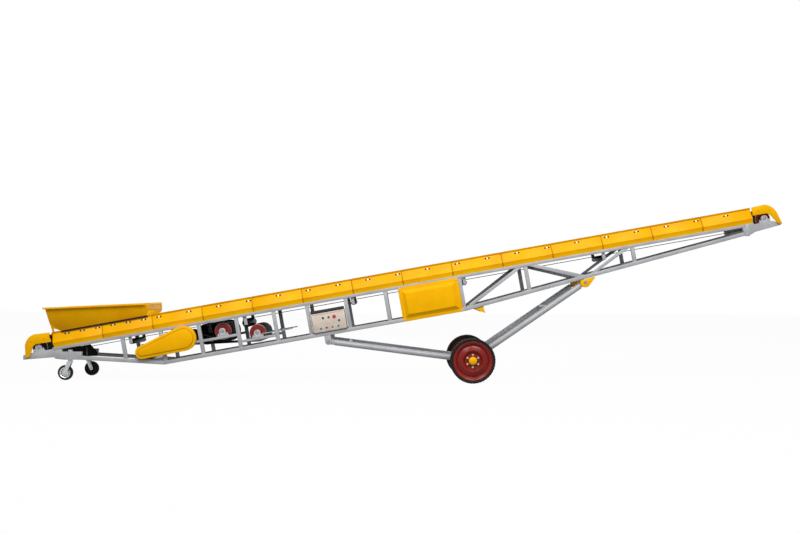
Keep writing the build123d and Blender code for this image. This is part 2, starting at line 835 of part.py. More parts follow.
def control_box_door():
    """Door over the box's front, with its knuckle between the box's two."""
    front = box_front - door_gap
    door = upright_block(box_start + door_gap, box_start + box_length, front - door_thickness, front,
                         box_floor + door_sill, box_floor + box_height)
    low = hinge_middle - hinge_length / 2
    high = hinge_middle + hinge_length / 2
    half = hinge_leaf / 2
    door += upright_block(hinge_along, box_start + 2 * door_gap, hinge_across - half, hinge_across + half,
                          low, high)
    return [door + knuckle(low, high)]


def door_buttons():
    face = box_front - door_gap - door_thickness
    return [rod(box_start + box_length * across_share, box_floor + box_height * up_share, button_radius,
                face - button_height, face) for across_share, up_share in buttons]


# Undercarriage, placed on the ground

arm_pin = to_ground(arm_pivot_along, chord_bottom - arm_pivot_drop)
axle = (axle_x, wheel_radius)
strut_edge = height_on(chord_low, strut_pivot_along)
strut_pin = to_ground(strut_pivot_along, strut_edge - strut_pivot_drop)
lug_low = -frame_half - lug_thickness / 2
lug_high = lug_low + lug_thickness
ear_out = lug_low - ear_gap
ear_in = lug_high + ear_gap


def toward(start, end, distance):
    length = hypot(end[0] - start[0], end[1] - start[1])
    share = distance / length
    return start[0] + (end[0] - start[0]) * share, start[1] + (end[1] - start[1]) * share


def tube_between(start, end, radius):
    """Round tube on the near side between two points of the ground side view."""
    length = hypot(end[0] - start[0], end[1] - start[1])
    turn = degrees(atan2(end[1] - start[1], end[0] - start[0]))
    place = Location(((start[0] + end[0]) / 2, -frame_half, (start[1] + end[1]) / 2), (0, 90 - turn, 0))
    return place * Cylinder(radius, length)


def lug(pin, tube_end, radius, bore):
    """Eye plate from a tube's end to its pin."""
    plate = slab(rounded_hull((*pin, radius), (*tube_end, radius)), lug_low, lug_high)
    return plate - rod(*pin, bore, lug_low - 1, lug_high + 1) if bore else plate


def lower_arm_tubes():
    upper = toward(arm_pin, axle, tube_to_pin)
    lower = toward(axle, arm_pin, tube_to_pin)
    arm = tube_between(upper, lower, tube_radius)
    arm += lug(arm_pin, upper, lug_radius, pin_radius + pin_gap)
    arm += lug(axle, lower, axle_lug, axle_radius)
    return both(arm)


def axle_beam():
    spindle = wheel_half_track + hub_face
    return [rod(*axle, axle_radius, -axle_half, axle_half) + rod(*axle, spindle_radius, -spindle, spindle)]


def strut_tubes():
    upper = toward(strut_pin, axle, tube_to_pin)
    lower = toward(axle, strut_pin, tube_to_pin)
    strut = tube_between(lower, upper, tube_radius)
    strut += lug(strut_pin, upper, strut_lug_radius, pin_radius + pin_gap)
    fork = rounded_hull((*axle, axle_lug), (*lower, axle_lug - 14))
    for y in (lug_low - ear_gap - fork_thickness, lug_high + ear_gap):
        strut += slab(fork, y, y + fork_thickness)
    return both(strut - rod(*axle, axle_radius + pin_gap, -side_out - 60, -side_in + 60))


def cross_tube(start, end, distance):
    x, z = toward(start, end, distance)
    half = frame_half - tube_radius - seat_gap
    return [rod(x, z, cross_tube_radius, -half, half)]


def arm_hangers():
    """Paired ears under the bottom chord with the arm's pin."""
    up = chord_bottom - arm_pivot_drop
    start = arm_pivot_along - hanger_radius
    end = arm_pivot_along + hanger_radius
    face = line((start, up), (end, up), (end, chord_bottom), (start, chord_bottom))
    face += Pos(arm_pivot_along, up) * Circle(hanger_radius)
    ears = slab(face, ear_out - ear_thickness, ear_out) + slab(face, ear_in, ear_in + ear_thickness)
    ears += rod(arm_pivot_along, up, pin_radius, ear_out - ear_thickness, ear_in + ear_thickness)
    return both(ears)


def trolley_frames():
    """Half-round cheeks and sliding shoes under the rising chord, joined by the strut's pivot shaft."""
    top = strut_pivot_drop - trolley_gap
    cheek = rounded_hull((0, 0, trolley_radius), (trolley_nose, top - 8, 8))
    cheek &= Pos(0, top / 2 - trolley_radius) * Rectangle(4 * trolley_nose, 2 * trolley_radius + top)
    start = -sqrt(trolley_radius ** 2 - top ** 2)
    shoe = line((start, top - trolley_shoe), (trolley_nose, top - trolley_shoe),
                (trolley_nose, top), (start, top))
    low = ear_out - ear_thickness
    high = ear_in + ear_thickness
    frame = slab(cheek, low, ear_out) + slab(cheek, ear_in, high) + slab(shoe, low, high)
    frames = frame + mirror(frame, about=Plane.XZ) + rod(0, 0, pin_radius, low, -low)
    turn = degrees(atan2(chord_end[1] - chord_bottom, chord_end[0] - chord_kink_head))
    place = Location((strut_pivot_along, 0, strut_edge - strut_pivot_drop), (0, -turn, 0))
    return [boom_place * place * frames]


def lift_stops():
    half = stop_thickness / 2
    face = line((stop_start, height_on(chord_low, stop_start)),
                (stop_end, height_on(chord_low, stop_end) - stop_drop),
                (stop_end - 9, height_on(chord_low, stop_end - 9)))
    return both(slab(face, -frame_half - half, -frame_half + half))


# Wheels and castors

def turned(edges):
    """Solid turned about the across axis from (radius, outwards) edges, for the near side."""
    profile = Plane.XZ * make_face(edges)
    return Rot(90, 0, 0) * revolve(profile, axis=Axis.Z)


def wheel_tyre():
    side = [(tyre_bead, rim_half), (tyre_side, rim_half + 4), (tyre_side + 16, tyre_half),
            (wheel_radius - 8, tyre_half - 5), (wheel_radius, tread_half)]
    back = [(radius, -out) for radius, out in side]
    return turned(Polyline(*back, *reversed(side), close=True))


def wheel_rim():
    """Dished disc wheel: flanged rim, ring groove, raised ring and sunk hub."""
    bore = spindle_radius + pin_gap
    seat = tyre_bead - seat_gap
    edge = rim_half + 1
    return turned(Polyline(
        (bore, hub_inner), (hub_radius, hub_inner), (hub_radius, 12), (112, 12), (154, 42), (200, 36),
        (228, 34), (228, -edge), (seat, -edge), (seat, edge), (rim_flange, edge + 4), (212, edge + 9),
        (206, edge), (200, edge + 6), (156, edge + 14), (112, 34), (hub_radius + 8, 36),
        (hub_radius, hub_face), (bore, hub_face), close=True))


def wheel_cap():
    foot = hub_face + seat_gap
    rise = hub_face + cap_height
    return turned(Polyline((0, foot), (cap_radius, foot), (cap_radius, foot + cap_height * 0.45),
                           (cap_radius * 0.86, foot + cap_height * 0.74), (cap_radius * 0.5, rise - 3),
                           (cap_radius * 0.2, rise), (0, rise), close=True))


def castor_fork(x, trail):
    """Swivel fork: stem, top plate, two legs and the wheel's axle, near side."""
    axle_at = x + trail
    side = castor_width / 2 + castor_side_gap
    lean = 1 if trail > 0 else -1
    leg = line((x - lean * 30, castor_top), (x + lean * 34, castor_top),
               (axle_at + lean * 20, castor_radius + 10), (axle_at - lean * 20, castor_radius - 8))
    leg += Pos(axle_at, castor_radius) * Circle(22)
    outer = -frame_half - side - fork_sheet
    inner = -frame_half + side + fork_sheet
    fork = slab(leg, outer, -frame_half - side)
    fork += slab(leg, -frame_half + side, inner)
    fork += Pos(x + lean * 2, -frame_half, castor_top - 6) * Box(64, 2 * (side + fork_sheet), 12)
    fork += Pos(x, -frame_half, castor_top + stem_length / 2) * Cylinder(stem_radius, stem_length)
    fork += rod(axle_at, castor_radius, castor_axle, outer, inner)
    return fork


def castor_wheel():
    """Tyre ring and hub disc of a castor, turned about their axle."""
    half = castor_width / 2
    inner = castor_radius - castor_tyre
    tyre = turned(Polyline((inner, -half), (castor_radius - 8, -half), (castor_radius, -half + 8),
                           (castor_radius, half - 8), (castor_radius - 8, half), (inner, half), close=True))
    hub_edge = inner - seat_gap
    bore = castor_axle + pin_gap
    hub = turned(Polyline(
        (bore, -half), (26, -half), (30, 8 - half), (hub_edge - 10, 8 - half), (hub_edge, -half),
        (hub_edge, half), (hub_edge - 10, half - 8), (30, half - 8), (26, half), (bore, half), close=True))
    return tyre, hub


def assemble():
    for make in (top_chords, bottom_chords, truss_posts, truss_diagonals, cross_members, tail_guard,
                 head_guard, hopper_walls, belt_carrying_run, belt_return_runs, belt_drum_wraps,
                 idler_cross_bars, idler_roll_brackets, trough_idler_rolls, drum_rails, takeup_screws,
                 drive_motor, motor_base, drive_guard, gear_cover, nameplate_cover, control_box,
                 control_box_door, door_buttons, arm_hangers, lift_stops):
        add(make.__name__, in_boom(make()))
    near_panels = in_boom(skirt_panels())
    add("skirt_panels_near", near_panels)
    add("skirt_panels_far", [mirror(panel, about=Plane.XZ) for panel in near_panels])
    rollers, brackets = return_roller_set()
    add("return_rollers", in_boom(rollers))
    add("return_roller_brackets", in_boom(brackets))
    add("end_pulleys", in_boom([drum(*place) for place in end_drums]))
    add("drive_drums", in_boom([drum(*place) for place in inner_drums]))
    add("drum_end_discs", in_boom(drum_discs(end_drums + inner_drums)))
    blocks = [block for along, up, _ in end_drums for block in bearing_block(along, up, bearing_seat)]
    add("end_pulley_bearings", in_boom(blocks))
    seats = (drive_rail, drive_rail, takeup_rail)
    blocks = []
    for (along, up, _), seat in zip(inner_drums, seats):
        blocks += bearing_block(along, up, seat)
    add("drum_pillow_blocks", in_boom(blocks))
    plates, castor_x = tail_side_plates()
    add("tail_side_plates", plates)
    add("head_side_plates", head_side_plates()[0])
    add("lower_arm_tubes", lower_arm_tubes())
    add("lower_arm_cross_tube", cross_tube(arm_pin, axle, arm_cross_at))
    add("axle_beam", axle_beam())
    add("strut_tubes", strut_tubes())
    add("strut_cross_tube", cross_tube(strut_pin, axle, strut_cross_at))
    add("trolley_frames", trolley_frames())
    wheel_place = Pos(axle_x, -wheel_half_track, wheel_radius)
    for name, piece in (("tyre", wheel_tyre()), ("rim", wheel_rim()), ("cap", wheel_cap())):
        near = wheel_place * piece
        add("wheel_near_" + name, [near])
        add("wheel_far_" + name, [mirror(near, about=Plane.XZ)])
    tyre, hub = castor_wheel()
    for side, trail in (("near", -castor_trail), ("far", castor_trail)):
        place = Pos(castor_x + trail, -frame_half, castor_radius)
        pieces = {"fork": castor_fork(castor_x, trail), "tyre": place * tyre, "hub": place * hub}
        for name, piece in pieces.items():
            solid = piece if side == "near" else mirror(piece, about=Plane.XZ)
            add("castor_" + side + "_" + name, [solid])


assemble()
os.makedirs("parts", exist_ok=True)
for node_name, shape in nodes.items():
    export_step(shape, os.path.join("parts", node_name + ".step"))
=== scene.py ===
"""Looks of a mobile belt conveyor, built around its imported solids.

Lengths in the tables are millimetres. Boom pieces are given as along, across and
up from the tail pulley's axis, and other pieces in the row frame.
"""
import json
import math

import bmesh
import bpy
from mathutils import Matrix, Vector

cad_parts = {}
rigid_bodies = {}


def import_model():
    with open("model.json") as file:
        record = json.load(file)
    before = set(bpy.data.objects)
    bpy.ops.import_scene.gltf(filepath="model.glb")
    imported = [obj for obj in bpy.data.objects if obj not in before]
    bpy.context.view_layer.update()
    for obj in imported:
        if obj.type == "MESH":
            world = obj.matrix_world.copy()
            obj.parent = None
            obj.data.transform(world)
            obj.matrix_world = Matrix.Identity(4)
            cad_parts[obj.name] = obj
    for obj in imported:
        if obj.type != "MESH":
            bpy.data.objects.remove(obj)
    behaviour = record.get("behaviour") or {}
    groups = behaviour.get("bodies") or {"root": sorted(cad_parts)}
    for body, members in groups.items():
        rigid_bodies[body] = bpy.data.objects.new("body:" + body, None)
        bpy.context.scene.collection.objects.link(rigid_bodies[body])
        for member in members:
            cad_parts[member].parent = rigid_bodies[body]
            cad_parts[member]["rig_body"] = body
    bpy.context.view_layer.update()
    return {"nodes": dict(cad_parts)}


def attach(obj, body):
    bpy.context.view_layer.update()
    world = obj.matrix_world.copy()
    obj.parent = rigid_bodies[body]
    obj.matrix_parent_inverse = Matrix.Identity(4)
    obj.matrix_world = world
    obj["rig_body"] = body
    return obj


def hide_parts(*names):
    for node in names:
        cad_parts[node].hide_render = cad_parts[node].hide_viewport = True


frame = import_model()
nodes = frame["nodes"]

# Sizes shared with the solids
mm = 0.001
boom_slope = math.radians(10.42)
tail_pulley_x = -4801.09
tail_pulley_z = 425.67
pulley_spacing = 9730.0
frame_half = 380.0           # centre plane to the middle of each truss side
deck = -32.0                 # top of the top chords
deck_under = -72.0
bearing_seat = -50.0
chord_low = ((530.0, -255.0), (1596.0, -510.0), (5639.0, -510.0), (9433.0, -181.0))
bottom_chord = 50.0
web_depth = 40.0
post_width = 50.0
diagonal_width = 40.0
post_places = (1111.0, 1622.0, 2130.0, 2632.0, 3133.0, 3582.0, 4100.0, 4631.0, 5130.0, 5628.0,
               6514.88, 7948.78)
screw_post = post_places[4]
strut_pivot_along = 7256.17
web_gap = 16.0               # between a diagonal's head and its post
# Diagonals: foot along the bottom chord, post at the head, side of that post.
diagonals = ((5705.0, post_places[10], -1), (strut_pivot_along - 46.0, post_places[10], 1),
             (strut_pivot_along + 134.0, post_places[11], -1))
idler_first = 398.0
loading_pitch = 205.6
loading_count = 7
carrying_pitch = 400.6
carrying_count = 19
idler_places = [idler_first + loading_pitch * i for i in range(loading_count)]
idler_places += [idler_places[-1] + carrying_pitch * (i + 1) for i in range(carrying_count)]
skirt_start = 200.0
skirt_end = 9576.0
skirt_count = 14
hopper_foot = 171.3
hopper_foot_side = 378.0     # centre plane to the foot of a side wall
hopper_flare = 0.4           # outwards for each unit of height
motor_at = (1346.0, -300.0)
drive_drum = (1916.0, -214.0)
bend_drum_along = 2426.0
takeup_drum = (2876.0, -312.0)
guard_radii = (86.0, 165.0)  # belt guard round the motor's shaft and the drive drum
guard_face = -462.0
axle_x = 919.25
wheel_half_track = 540.0
wheel_radius = 295.0
castor_x = -4383.745
castor_trail = 62.0
castor_radius = 100.0
arm_pin = (3782.0, -592.0)
strut_pin = (strut_pivot_along, -416.77)
box_start = 3616.0
box_length = 448.0
box_floor = -460.0
box_height = 258.0
door_face = -424.0

# Wheels and castors: (radius, outwards) profiles
# Tyre from bead to tread, one side: sidewall ribs, shoulder, and two grooves.
tyre_side = ((242, 50), (256, 53.5), (259, 56.5), (262, 56.5), (264, 59), (268, 61.5), (270, 60.5),
             (272, 62.5), (281, 64), (287, 61.5), (290, 57), (290, 35), (295, 34), (295, 22),
             (289, 21), (289, 14), (295, 13))
tyre_profile = [(r, -out) for r, out in tyre_side] + list(reversed(tyre_side))
# Pressed disc wheel with a flanged rim, a ring groove, a raised ring and the hub.
rim_profile = ((25.3, -60), (62, -60), (62, 8), (112, 8), (150, 34), (196, 8), (228, 8), (228, -51),
               (241.7, -51), (241.7, 51), (256, 55), (256, 60), (250, 61), (209, 31), (206, 22), (200, 22),
               (196, 31), (172, 41), (150, 58), (134, 60), (112, 38), (98, 28), (70, 28), (62, 50),
               (25.3, 50))
cap_profile = ((0, 50.3), (54, 50.3), (54, 54), (51, 55), (51, 66), (48, 71), (40, 77), (28, 81.5),
               (12, 83.8), (0, 84))
castor_tyre_profile = ((72, -22.5), (89, -22.5), (95, -20.5), (98.5, -16.5), (100, -10), (100, 10),
                       (98.5, 16.5), (95, 20.5), (89, 22.5), (72, 22.5))
castor_hub_profile = ((9.3, -22.5), (26, -22.5), (30, -14.5), (61.7, -14.5), (71.7, -22.5), (71.7, 22.5),
                      (61.7, 14.5), (30, 14.5), (26, 22.5), (9.3, 22.5))
# Black disc in the castor hub's middle: painted shade seen through the hub's holes.
castor_hole_shade_profile = ((24, -1.5), (63, -1.5), (63, 1.5), (24, 1.5))
wheel_steps = 120
castor_steps = 72
hole_shade_steps = 48
lug_count = 44
lug_bar = (24.0, 13.0, 5.0)           # length, width, height
lug_radius = 290.0
lug_out = 46.0
hub_bolt_ring = (6, 80.0, 28.0)       # count, radius, outwards
castor_holes = (11, 50.0, 9.0)        # count, ring's radius, hole's radius
drill_depth = 80.0
drill_sides = 20
castor_nut_out = 34.5
tail_disc_room = 300.0                # from the tail pulley's axis to past its end discs

# Motor: (radius, across) profiles, and (along, up) outlines with their ends across
motor_body = ((0, -330), (58, -330), (72, -324), (76, -318), (76, -308), (66, -304), (66, -56), (76, -52),
              (76, -32), (72, -28), (72, 22), (66, 29), (0, 30))
motor_shaft = ((0, -398), (14, -398), (14, -328), (0, -328))
motor_steps = 64
shaft_steps = 24
motor_foot = ((1268.0, -367.8), (1424.0, -405.2), (1424.0, -352.0), (1268.0, -352.0))
motor_foot_ends = (-290.0, -70.0)
terminal_box = (1300.0, -240.0, 1392.0, -196.0)     # left, foot, right, top
terminal_box_ends = (-230.0, -130.0)
fin_ring = (36, 64.0, -180.0)         # count, radius, across
fin_bar = (244.0, 3.0, 13.0)          # length, width, height
grille_ring = (24, 26.0, 29.0)        # count, radius, across
grille_bar = (30.0, 3.0, 4.0)         # length, width, height
# Groove in the belt guard: insets from its edge, and ends across from its face.
groove_insets = (31.0, 39.5)
groove_ends = (-1.2, 3.0)
guard_steps = 40                      # steps of each round end

# Take-up screws
screw_start = takeup_drum[0] + 42.3
screw_end = screw_post + 209.0
screw_across = 342.0
screw_up = takeup_drum[1] - 24.0
screw_thread = (8.2, 4.0, 1.0)        # radius, pitch, ridge
helix_steps = 14                      # steps of each turn
ridge_sides = 4
core_sides = 20
nut_block_half = 18.0
lock_nut_out = 26.0

# Bolts: washer radius, washer height, head radius, head height, end radius, end height.
m8_bolt = (11.5, 1.5, 9.0, 6.0, 4.0, 7.5)
m10_bolt = (11.0, 2.0, 9.5, 8.0, 5.0, 9.0)
m12_stud = (13.0, 2.5, 11.0, 12.0, 6.0, 20.0)
m16_stud = (16.0, 3.0, 14.0, 15.0, 8.0, 24.0)
m20_pin = (22.0, 3.0, 16.0, 8.0, 10.0, 12.0)
lock_nut = (17.0, 3.0, 16.0, 14.0, 9.0, 14.5)
skirt_bolt_up = 123.0
skirt_bolt_across = 369.0
skirt_bolt_spread = 24.0
skirt_tab = (15.0, 11.0, 3.0)         # length, width, height
skirt_face = (0.909, 0.416)           # outwards and up: the way the skirt's bolts face
# End guards' bolts: along, up.
guard_bolts = ((-70.0, 105.0), (110.0, 112.0), (pulley_spacing - 72.0, 122.0),
               (pulley_spacing + 78.0, 105.0))
guard_bolt_across = 425.0
# Tops of the bearing blocks' feet: along, up.
end_foot_up = bearing_seat + 18.0
block_feet = ((0.0, end_foot_up), (pulley_spacing, end_foot_up), (drive_drum[0], -256.0),
              (bend_drum_along, -256.0), (takeup_drum[0], -354.0))
block_nut_spread = 58.0
pin_head_out = 28.0
cover_bolt_across = -411.0
cover_bolt_columns = (4825.0, 5584.0)
cover_bolt_rows = (-488.0, -77.0)
gear_axis_up = -221.0
gear_bolt_across = 446.0
gear_bolt_reach = 128.0               # from the cover's middle line to its long edges' bolts
gear_bolt_columns = (2070.0, 2180.0, 2290.0, 2400.0)
gear_bolt_ends = (1942.0, 2528.0)
weld_sizes = (3.2, 3.6)               # bead radius, pitch
bead_scale = (0.8, 1.15)              # least and most

# Control box
door_left = box_start + 1.0
door_right = box_start + box_length
door_foot = box_floor + 6.0
door_top = box_floor + box_height
door_seam = 5.0
door_lip = 20.0
door_line_height = 2.0
# Rubber strip over the box: across, up.
rain_section = ((-385, -202), (-385, -168), (-394, -160), (-428, -163), (-430, -168), (-430, -198),
                (-407, -198), (-407, -202))
# Gland block between the box and the deck: along, up.
gland_block = ((3622.0, -178.0), (3668.0, -178.0), (3668.0, -84.0), (3650.0, -76.0), (3622.0, -76.0))
gland_ends = (-394.0, -362.0)
# Button profiles: radius, outwards from the door's face.
bezel_profile = ((8, 0), (17, 0), (17, 3), (15.5, 5), (14, 5), (14, 3), (8, 3))
push_profile = ((0, 2), (13.5, 2), (13.5, 8), (12, 10), (0, 10.4))
mushroom_profile = ((0, 2), (12, 2), (12, 7), (22, 7.5), (22, 10), (18, 13), (9, 14), (0, 14))
lamp_profile = ((0, 2), (13.5, 2), (13.5, 6), (11.5, 9.5), (7, 11.5), (0, 12.2))
button_steps = 32
# Buttons: along, up, profile, colour.
buttons = ((3768.0, -272.0, push_profile, "black"), (3843.0, -272.0, push_profile, "dark_green"),
           (3917.0, -274.0, mushroom_profile, "red"), (3973.0, -335.0, push_profile, "black"),
           (3721.0, -405.0, lamp_profile, "teal"), (3795.0, -402.0, lamp_profile, "red_brown"),
           (3872.0, -405.0, lamp_profile, "grey_green"), (3951.0, -404.0, lamp_profile, "green"))

# Hopper, skirts and ends: rectangles as left, foot, right, top
# Black rubber seal under each hopper wall, which also paints the shade of the gap above the skirts.
hopper_seal_shade = (330.0, 150.0, 1490.0, 172.0)
hopper_seal_shade_across = 376.0
hopper_seal_shade_half = 2.5
# Upright strip at the hopper's tail corner, from the side wall down to the skirts: along, up.
corner_strip = ((216.0, 172.0), (243.0, 172.0), (243.0, 218.0), (326.0, 172.0), (332.0, 174.0),
                (216.0, 288.0))
corner_strip_out = 4.6
corner_strip_down = 1.9
# Outer edge of the hopper's side rims at the tail and head ends: along, across, up.
rim_tail = (189.0, 533.9, 499.4)
rim_head = (1510.0, 465.5, 325.0)
rim_edge_foot = -18.0
rim_edge_top = 6.0
rim_edge_sheet = 5.0
# Raised frame on the outside of the hopper's head wall: across, up.
head_frame_outer = ((-439.4, 325.0), (439.4, 325.0), (402.0, 231.4), (-402.0, 231.4))
head_frame_inner = ((-370.0, 301.0), (370.0, 301.0), (350.0, 253.0), (-350.0, 253.0))
head_frame_ends = (-1519.0, -1514.8)
# Straps over the skirts' joints, a row for each outer facet: out from the truss side and above
# the deck, at the facet's foot and top.
strap_facets = ((14.0, 15.0, 32.0, 61.0), (32.0, 61.0, -21.0, 177.0))
strap_half = 7.0
strap_sheet = 1.6
# Black sheet inside the far tail plate, which paints its shade: along, up; ends across.
far_tail_shade_outline = ((80.0, -74.0), (460.0, -74.0), (532.0, -197.0), (532.0, -246.0), (395.0, -232.0), (190.0, -156.0))
far_tail_shade_ends = (350.5, 354.5)
latch = (182.0, 92.0, 198.0, 142.0)
latch_across = 427.5
latch_half = 3.0
# Black sheets behind the end guards paint the shade inside the ends.
end_shade_rows = ((118.0, -64.0, 205.0, 62.0), (9570.0, -64.0, 9612.0, 66.0))
end_shade_across = 334.0
end_shade_half = 2.0

# Mesh cleaning, in metres and degrees
solid_merge = 0.00001                 # points of a solid's copy that become one
shape_merge = 0.000005                # points of a new shape that become one
least_edge = 0.000001
flat_angle = 0.6

# Stage, in metres and watts
floor_half = 40.0
floor_colour = "#7C7C7C"
floor_glow = 1.075
floor_glow_share = 0.9                # the rest of the floor's look keeps the shadow
ambient_strength = 0.42
# Lamps: name, place, size, power.
lamps = (("left_softbox", (-4.0, -9.0, 10.0), 6.0, 800.0), ("right_softbox", (4.0, -9.0, 10.0), 6.0, 800.0),
         ("back_softbox", (0.0, 10.0, 9.0), 8.0, 520.0))
lamp_aim = Vector((0.0, 0.0, 1.2))
picture_width = 800                   # pixels
camera_lens = 46.4                    # mm
camera_sensor = 36.0                  # mm
camera_shift = (3.0, 23.5)            # pixels
camera_place = (-0.07375, -14.0, 1.21408)
camera_roll = -0.005585               # radians

boom_foot = Vector((tail_pulley_x, 0, tail_pulley_z)) * mm
boom = Matrix.Translation(boom_foot) @ Matrix.Rotation(-boom_slope, 4, "Y")
across_boom = boom @ Matrix.Rotation(math.pi / 2, 4, "Z")
along_boom = (1, 0, 0)
sides = (("near", -1), ("far", 1))


# Materials: real grain is too fine to show in a picture, so it is drawn coarser here

def linear(colour):
    """Linear RGBA of an sRGB hex colour."""
    shares = [int(colour[i:i + 2], 16) / 255 for i in (1, 3, 5)]
    return [s / 12.92 if s <= 0.04045 else ((s + 0.055) / 1.055) ** 2.4 for s in shares] + [1.0]


def put(tree, kind, settings=(), links=()):
    """Add a node with its settings (property or input: value) and links (input: socket)."""
    node = tree.nodes.new(kind)
    for key, value in dict(settings).items():
        if isinstance(key, str) and hasattr(node, key):
            setattr(node, key, value)
        else:
            node.inputs[key].default_value = value
    for key, socket in dict(links).items():
        tree.links.new(socket, node.inputs[key])
    return node


noise_range = {"From Min": 0.3, "From Max": 0.7}


def finish_of(name, shades, patch, grain, relief, rough, pattern="ShaderNodeTexNoise", **shader):
    """Material whose colour drifts between two shades over patches, with a grained surface.

    patch and grain are pattern sizes and relief the grain's height, all in mm; rough
    is the least and most roughness.
    """
    material = bpy.data.materials.new(name)
    material.use_nodes = True
    tree = material.node_tree
    tree.nodes.clear()
    place = put(tree, "ShaderNodeTexCoord").outputs["Object"]
    patches = put(tree, pattern, {"Scale": 1 / (patch * mm)}, {"Vector": place})
    share = put(tree, "ShaderNodeMapRange", noise_range, {"Value": patches.outputs[0]})
    colour = put(tree, "ShaderNodeMix", {"data_type": "RGBA", 6: linear(shades[0]), 7: linear(shades[1])},
                 {0: share.outputs["Result"]})
    grains = put(tree, "ShaderNodeTexNoise", {"Scale": 1 / (grain * mm), "Detail": 3.0}, {"Vector": place})
    roughness = put(tree, "ShaderNodeMapRange", {**noise_range, "To Min": rough[0], "To Max": rough[1]},
                    {"Value": grains.outputs[0]})
    bump = put(tree, "ShaderNodeBump", {"Strength": 1.0, "Distance": relief * mm},
               {"Height": grains.outputs[0]})
    skin = put(tree, "ShaderNodeBsdfPrincipled", shader,
               {"Base Color": colour.outputs[2], "Roughness": roughness.outputs["Result"],
                "Normal": bump.outputs["Normal"]})
    put(tree, "ShaderNodeOutputMaterial", {}, {"Surface": skin.outputs["BSDF"]})
    return material


# Sprayed enamel on sheet steel: even deep yellow, satin coat with faint orange peel.
yellow_enamel = finish_of("yellow_enamel", ("#FFBE00", "#F8B000"), patch=240, grain=5, relief=0.05,
                          rough=(0.34, 0.46), IOR=1.5,
                          **{"Specular IOR Level": 0.07, "Coat Weight": 0.02, "Coat Roughness": 0.1})
# The same enamel darkened: painted shade for the pressed groove round the belt guard and for the seams at the
# skirts' joints.
yellow_shade_enamel = finish_of("yellow_shade_enamel", ("#C98A00", "#B87A00"), patch=60, grain=5, relief=0.05,
                          rough=(0.5, 0.6), IOR=1.5, **{"Specular IOR Level": 0.1})
# Aluminium-flake paint on tube: mid grey with a soft metallic sparkle.
silver_enamel = finish_of("silver_enamel", ("#B4B6B9", "#A5A7AA"), patch=160, grain=6, relief=0.02,
                          rough=(0.38, 0.52), Metallic=0.15, **{"Specular IOR Level": 0.25})
# Dark red gloss enamel on pressed wheel discs, with clear reflections.
red_enamel = finish_of("red_enamel", ("#8A1A0E", "#74130A"), patch=90, grain=6, relief=0.03,
                       rough=(0.24, 0.34), IOR=1.5,
                       **{"Specular IOR Level": 0.22, "Coat Weight": 0.1, "Coat Roughness": 0.1})
# Black stoving enamel on rolls and the axle: dull sheen, slightly uneven.
black_enamel = finish_of("black_enamel", ("#1A1A1C", "#111213"), patch=60, grain=3, relief=0.05,
                         rough=(0.42, 0.58), **{"Specular IOR Level": 0.12})
# Near-black hammered enamel on a cast motor housing.
motor_enamel = finish_of("motor_enamel", ("#24282B", "#1A1D20"), patch=12, grain=4, relief=0.15,
                         rough=(0.4, 0.55), **{"Specular IOR Level": 0.15})
# Turned mild steel: grey metal with fine tool marks.
turned_steel = finish_of("turned_steel", ("#9A9C9F", "#86888B"), patch=40, grain=3, relief=0.02,
                         rough=(0.28, 0.42), Metallic=1.0)
# Zinc-plated steel: pale metal with a patchy spangle.
zinc_plate = finish_of("zinc_plate", ("#CDD0D2", "#AEB2B6"), patch=9, grain=4, relief=0.02,
                       rough=(0.25, 0.4), pattern="ShaderNodeTexVoronoi", Metallic=0.85)
# Painted grey iron casting: sand-grained skin.
cast_iron_paint = finish_of("cast_iron_paint", ("#BFC1C4", "#AAADB0"), patch=50, grain=3, relief=0.25,
                            rough=(0.4, 0.55), Metallic=0.15, **{"Specular IOR Level": 0.25})
# Fabric-backed rubber belt: matt black with a dusty bloom.
belt_rubber = finish_of("belt_rubber", ("#181819", "#212122"), patch=130, grain=3, relief=0.12,
                        rough=(0.6, 0.8), **{"Specular IOR Level": 0.12})
# Vulcanised tyre rubber: deep black, dull, fine moulded grain.
tyre_rubber = finish_of("tyre_rubber", ("#171615", "#201F1D"), patch=45, grain=2, relief=0.08,
                        rough=(0.5, 0.68), **{"Specular IOR Level": 0.15})
# Beige textured powder coat on the control box.
beige_powder = finish_of("beige_powder", ("#E2D3C6", "#D3C4B5"), patch=80, grain=2.5, relief=0.12,
                         rough=(0.45, 0.6), **{"Specular IOR Level": 0.2})
# The same powder coat in dark grey: painted shade in the gaps round the door's edges.
seam_shade_powder = finish_of("seam_shade_powder", ("#7C766F", "#6C6761"), patch=80, grain=2.5, relief=0.12,
                        rough=(0.45, 0.6), **{"Specular IOR Level": 0.2})
# Moulded button plastics: smooth gloss, each in its own colour.
black_plastic = finish_of("black_plastic", ("#161617", "#1C1C1D"), patch=20, grain=2, relief=0.01,
                          rough=(0.2, 0.3))
button_colours = {"red": ("#C8201C", "#B51A17"), "dark_green": ("#1F4A33", "#183D2A"),
                  "teal": ("#2A8C8A", "#237876"), "red_brown": ("#8C3A2E", "#7A3026"),
                  "grey_green": ("#7F9184", "#718376"), "green": ("#2E9A4E", "#278543")}
button_plastic = {colour: finish_of(colour + "_plastic", shades, patch=20, grain=2, relief=0.01,
                                    rough=(0.15, 0.25))
                  for colour, shades in button_colours.items()}


# Making pieces

def smooth(mesh, degrees=35):
    """Shade a mesh smooth, with its edges over an angle left sharp."""
    mesh.polygons.foreach_set("use_smooth", [True] * len(mesh.polygons))
    mesh.set_sharp_from_angle(angle=math.radians(degrees))


def evaluated_mesh(obj):
    """Plain mesh of an object with its modifiers applied; the object is removed."""
    graph = bpy.context.evaluated_depsgraph_get()
    mesh = bpy.data.meshes.new_from_object(obj.evaluated_get(graph))
    bpy.data.objects.remove(obj)
    return mesh


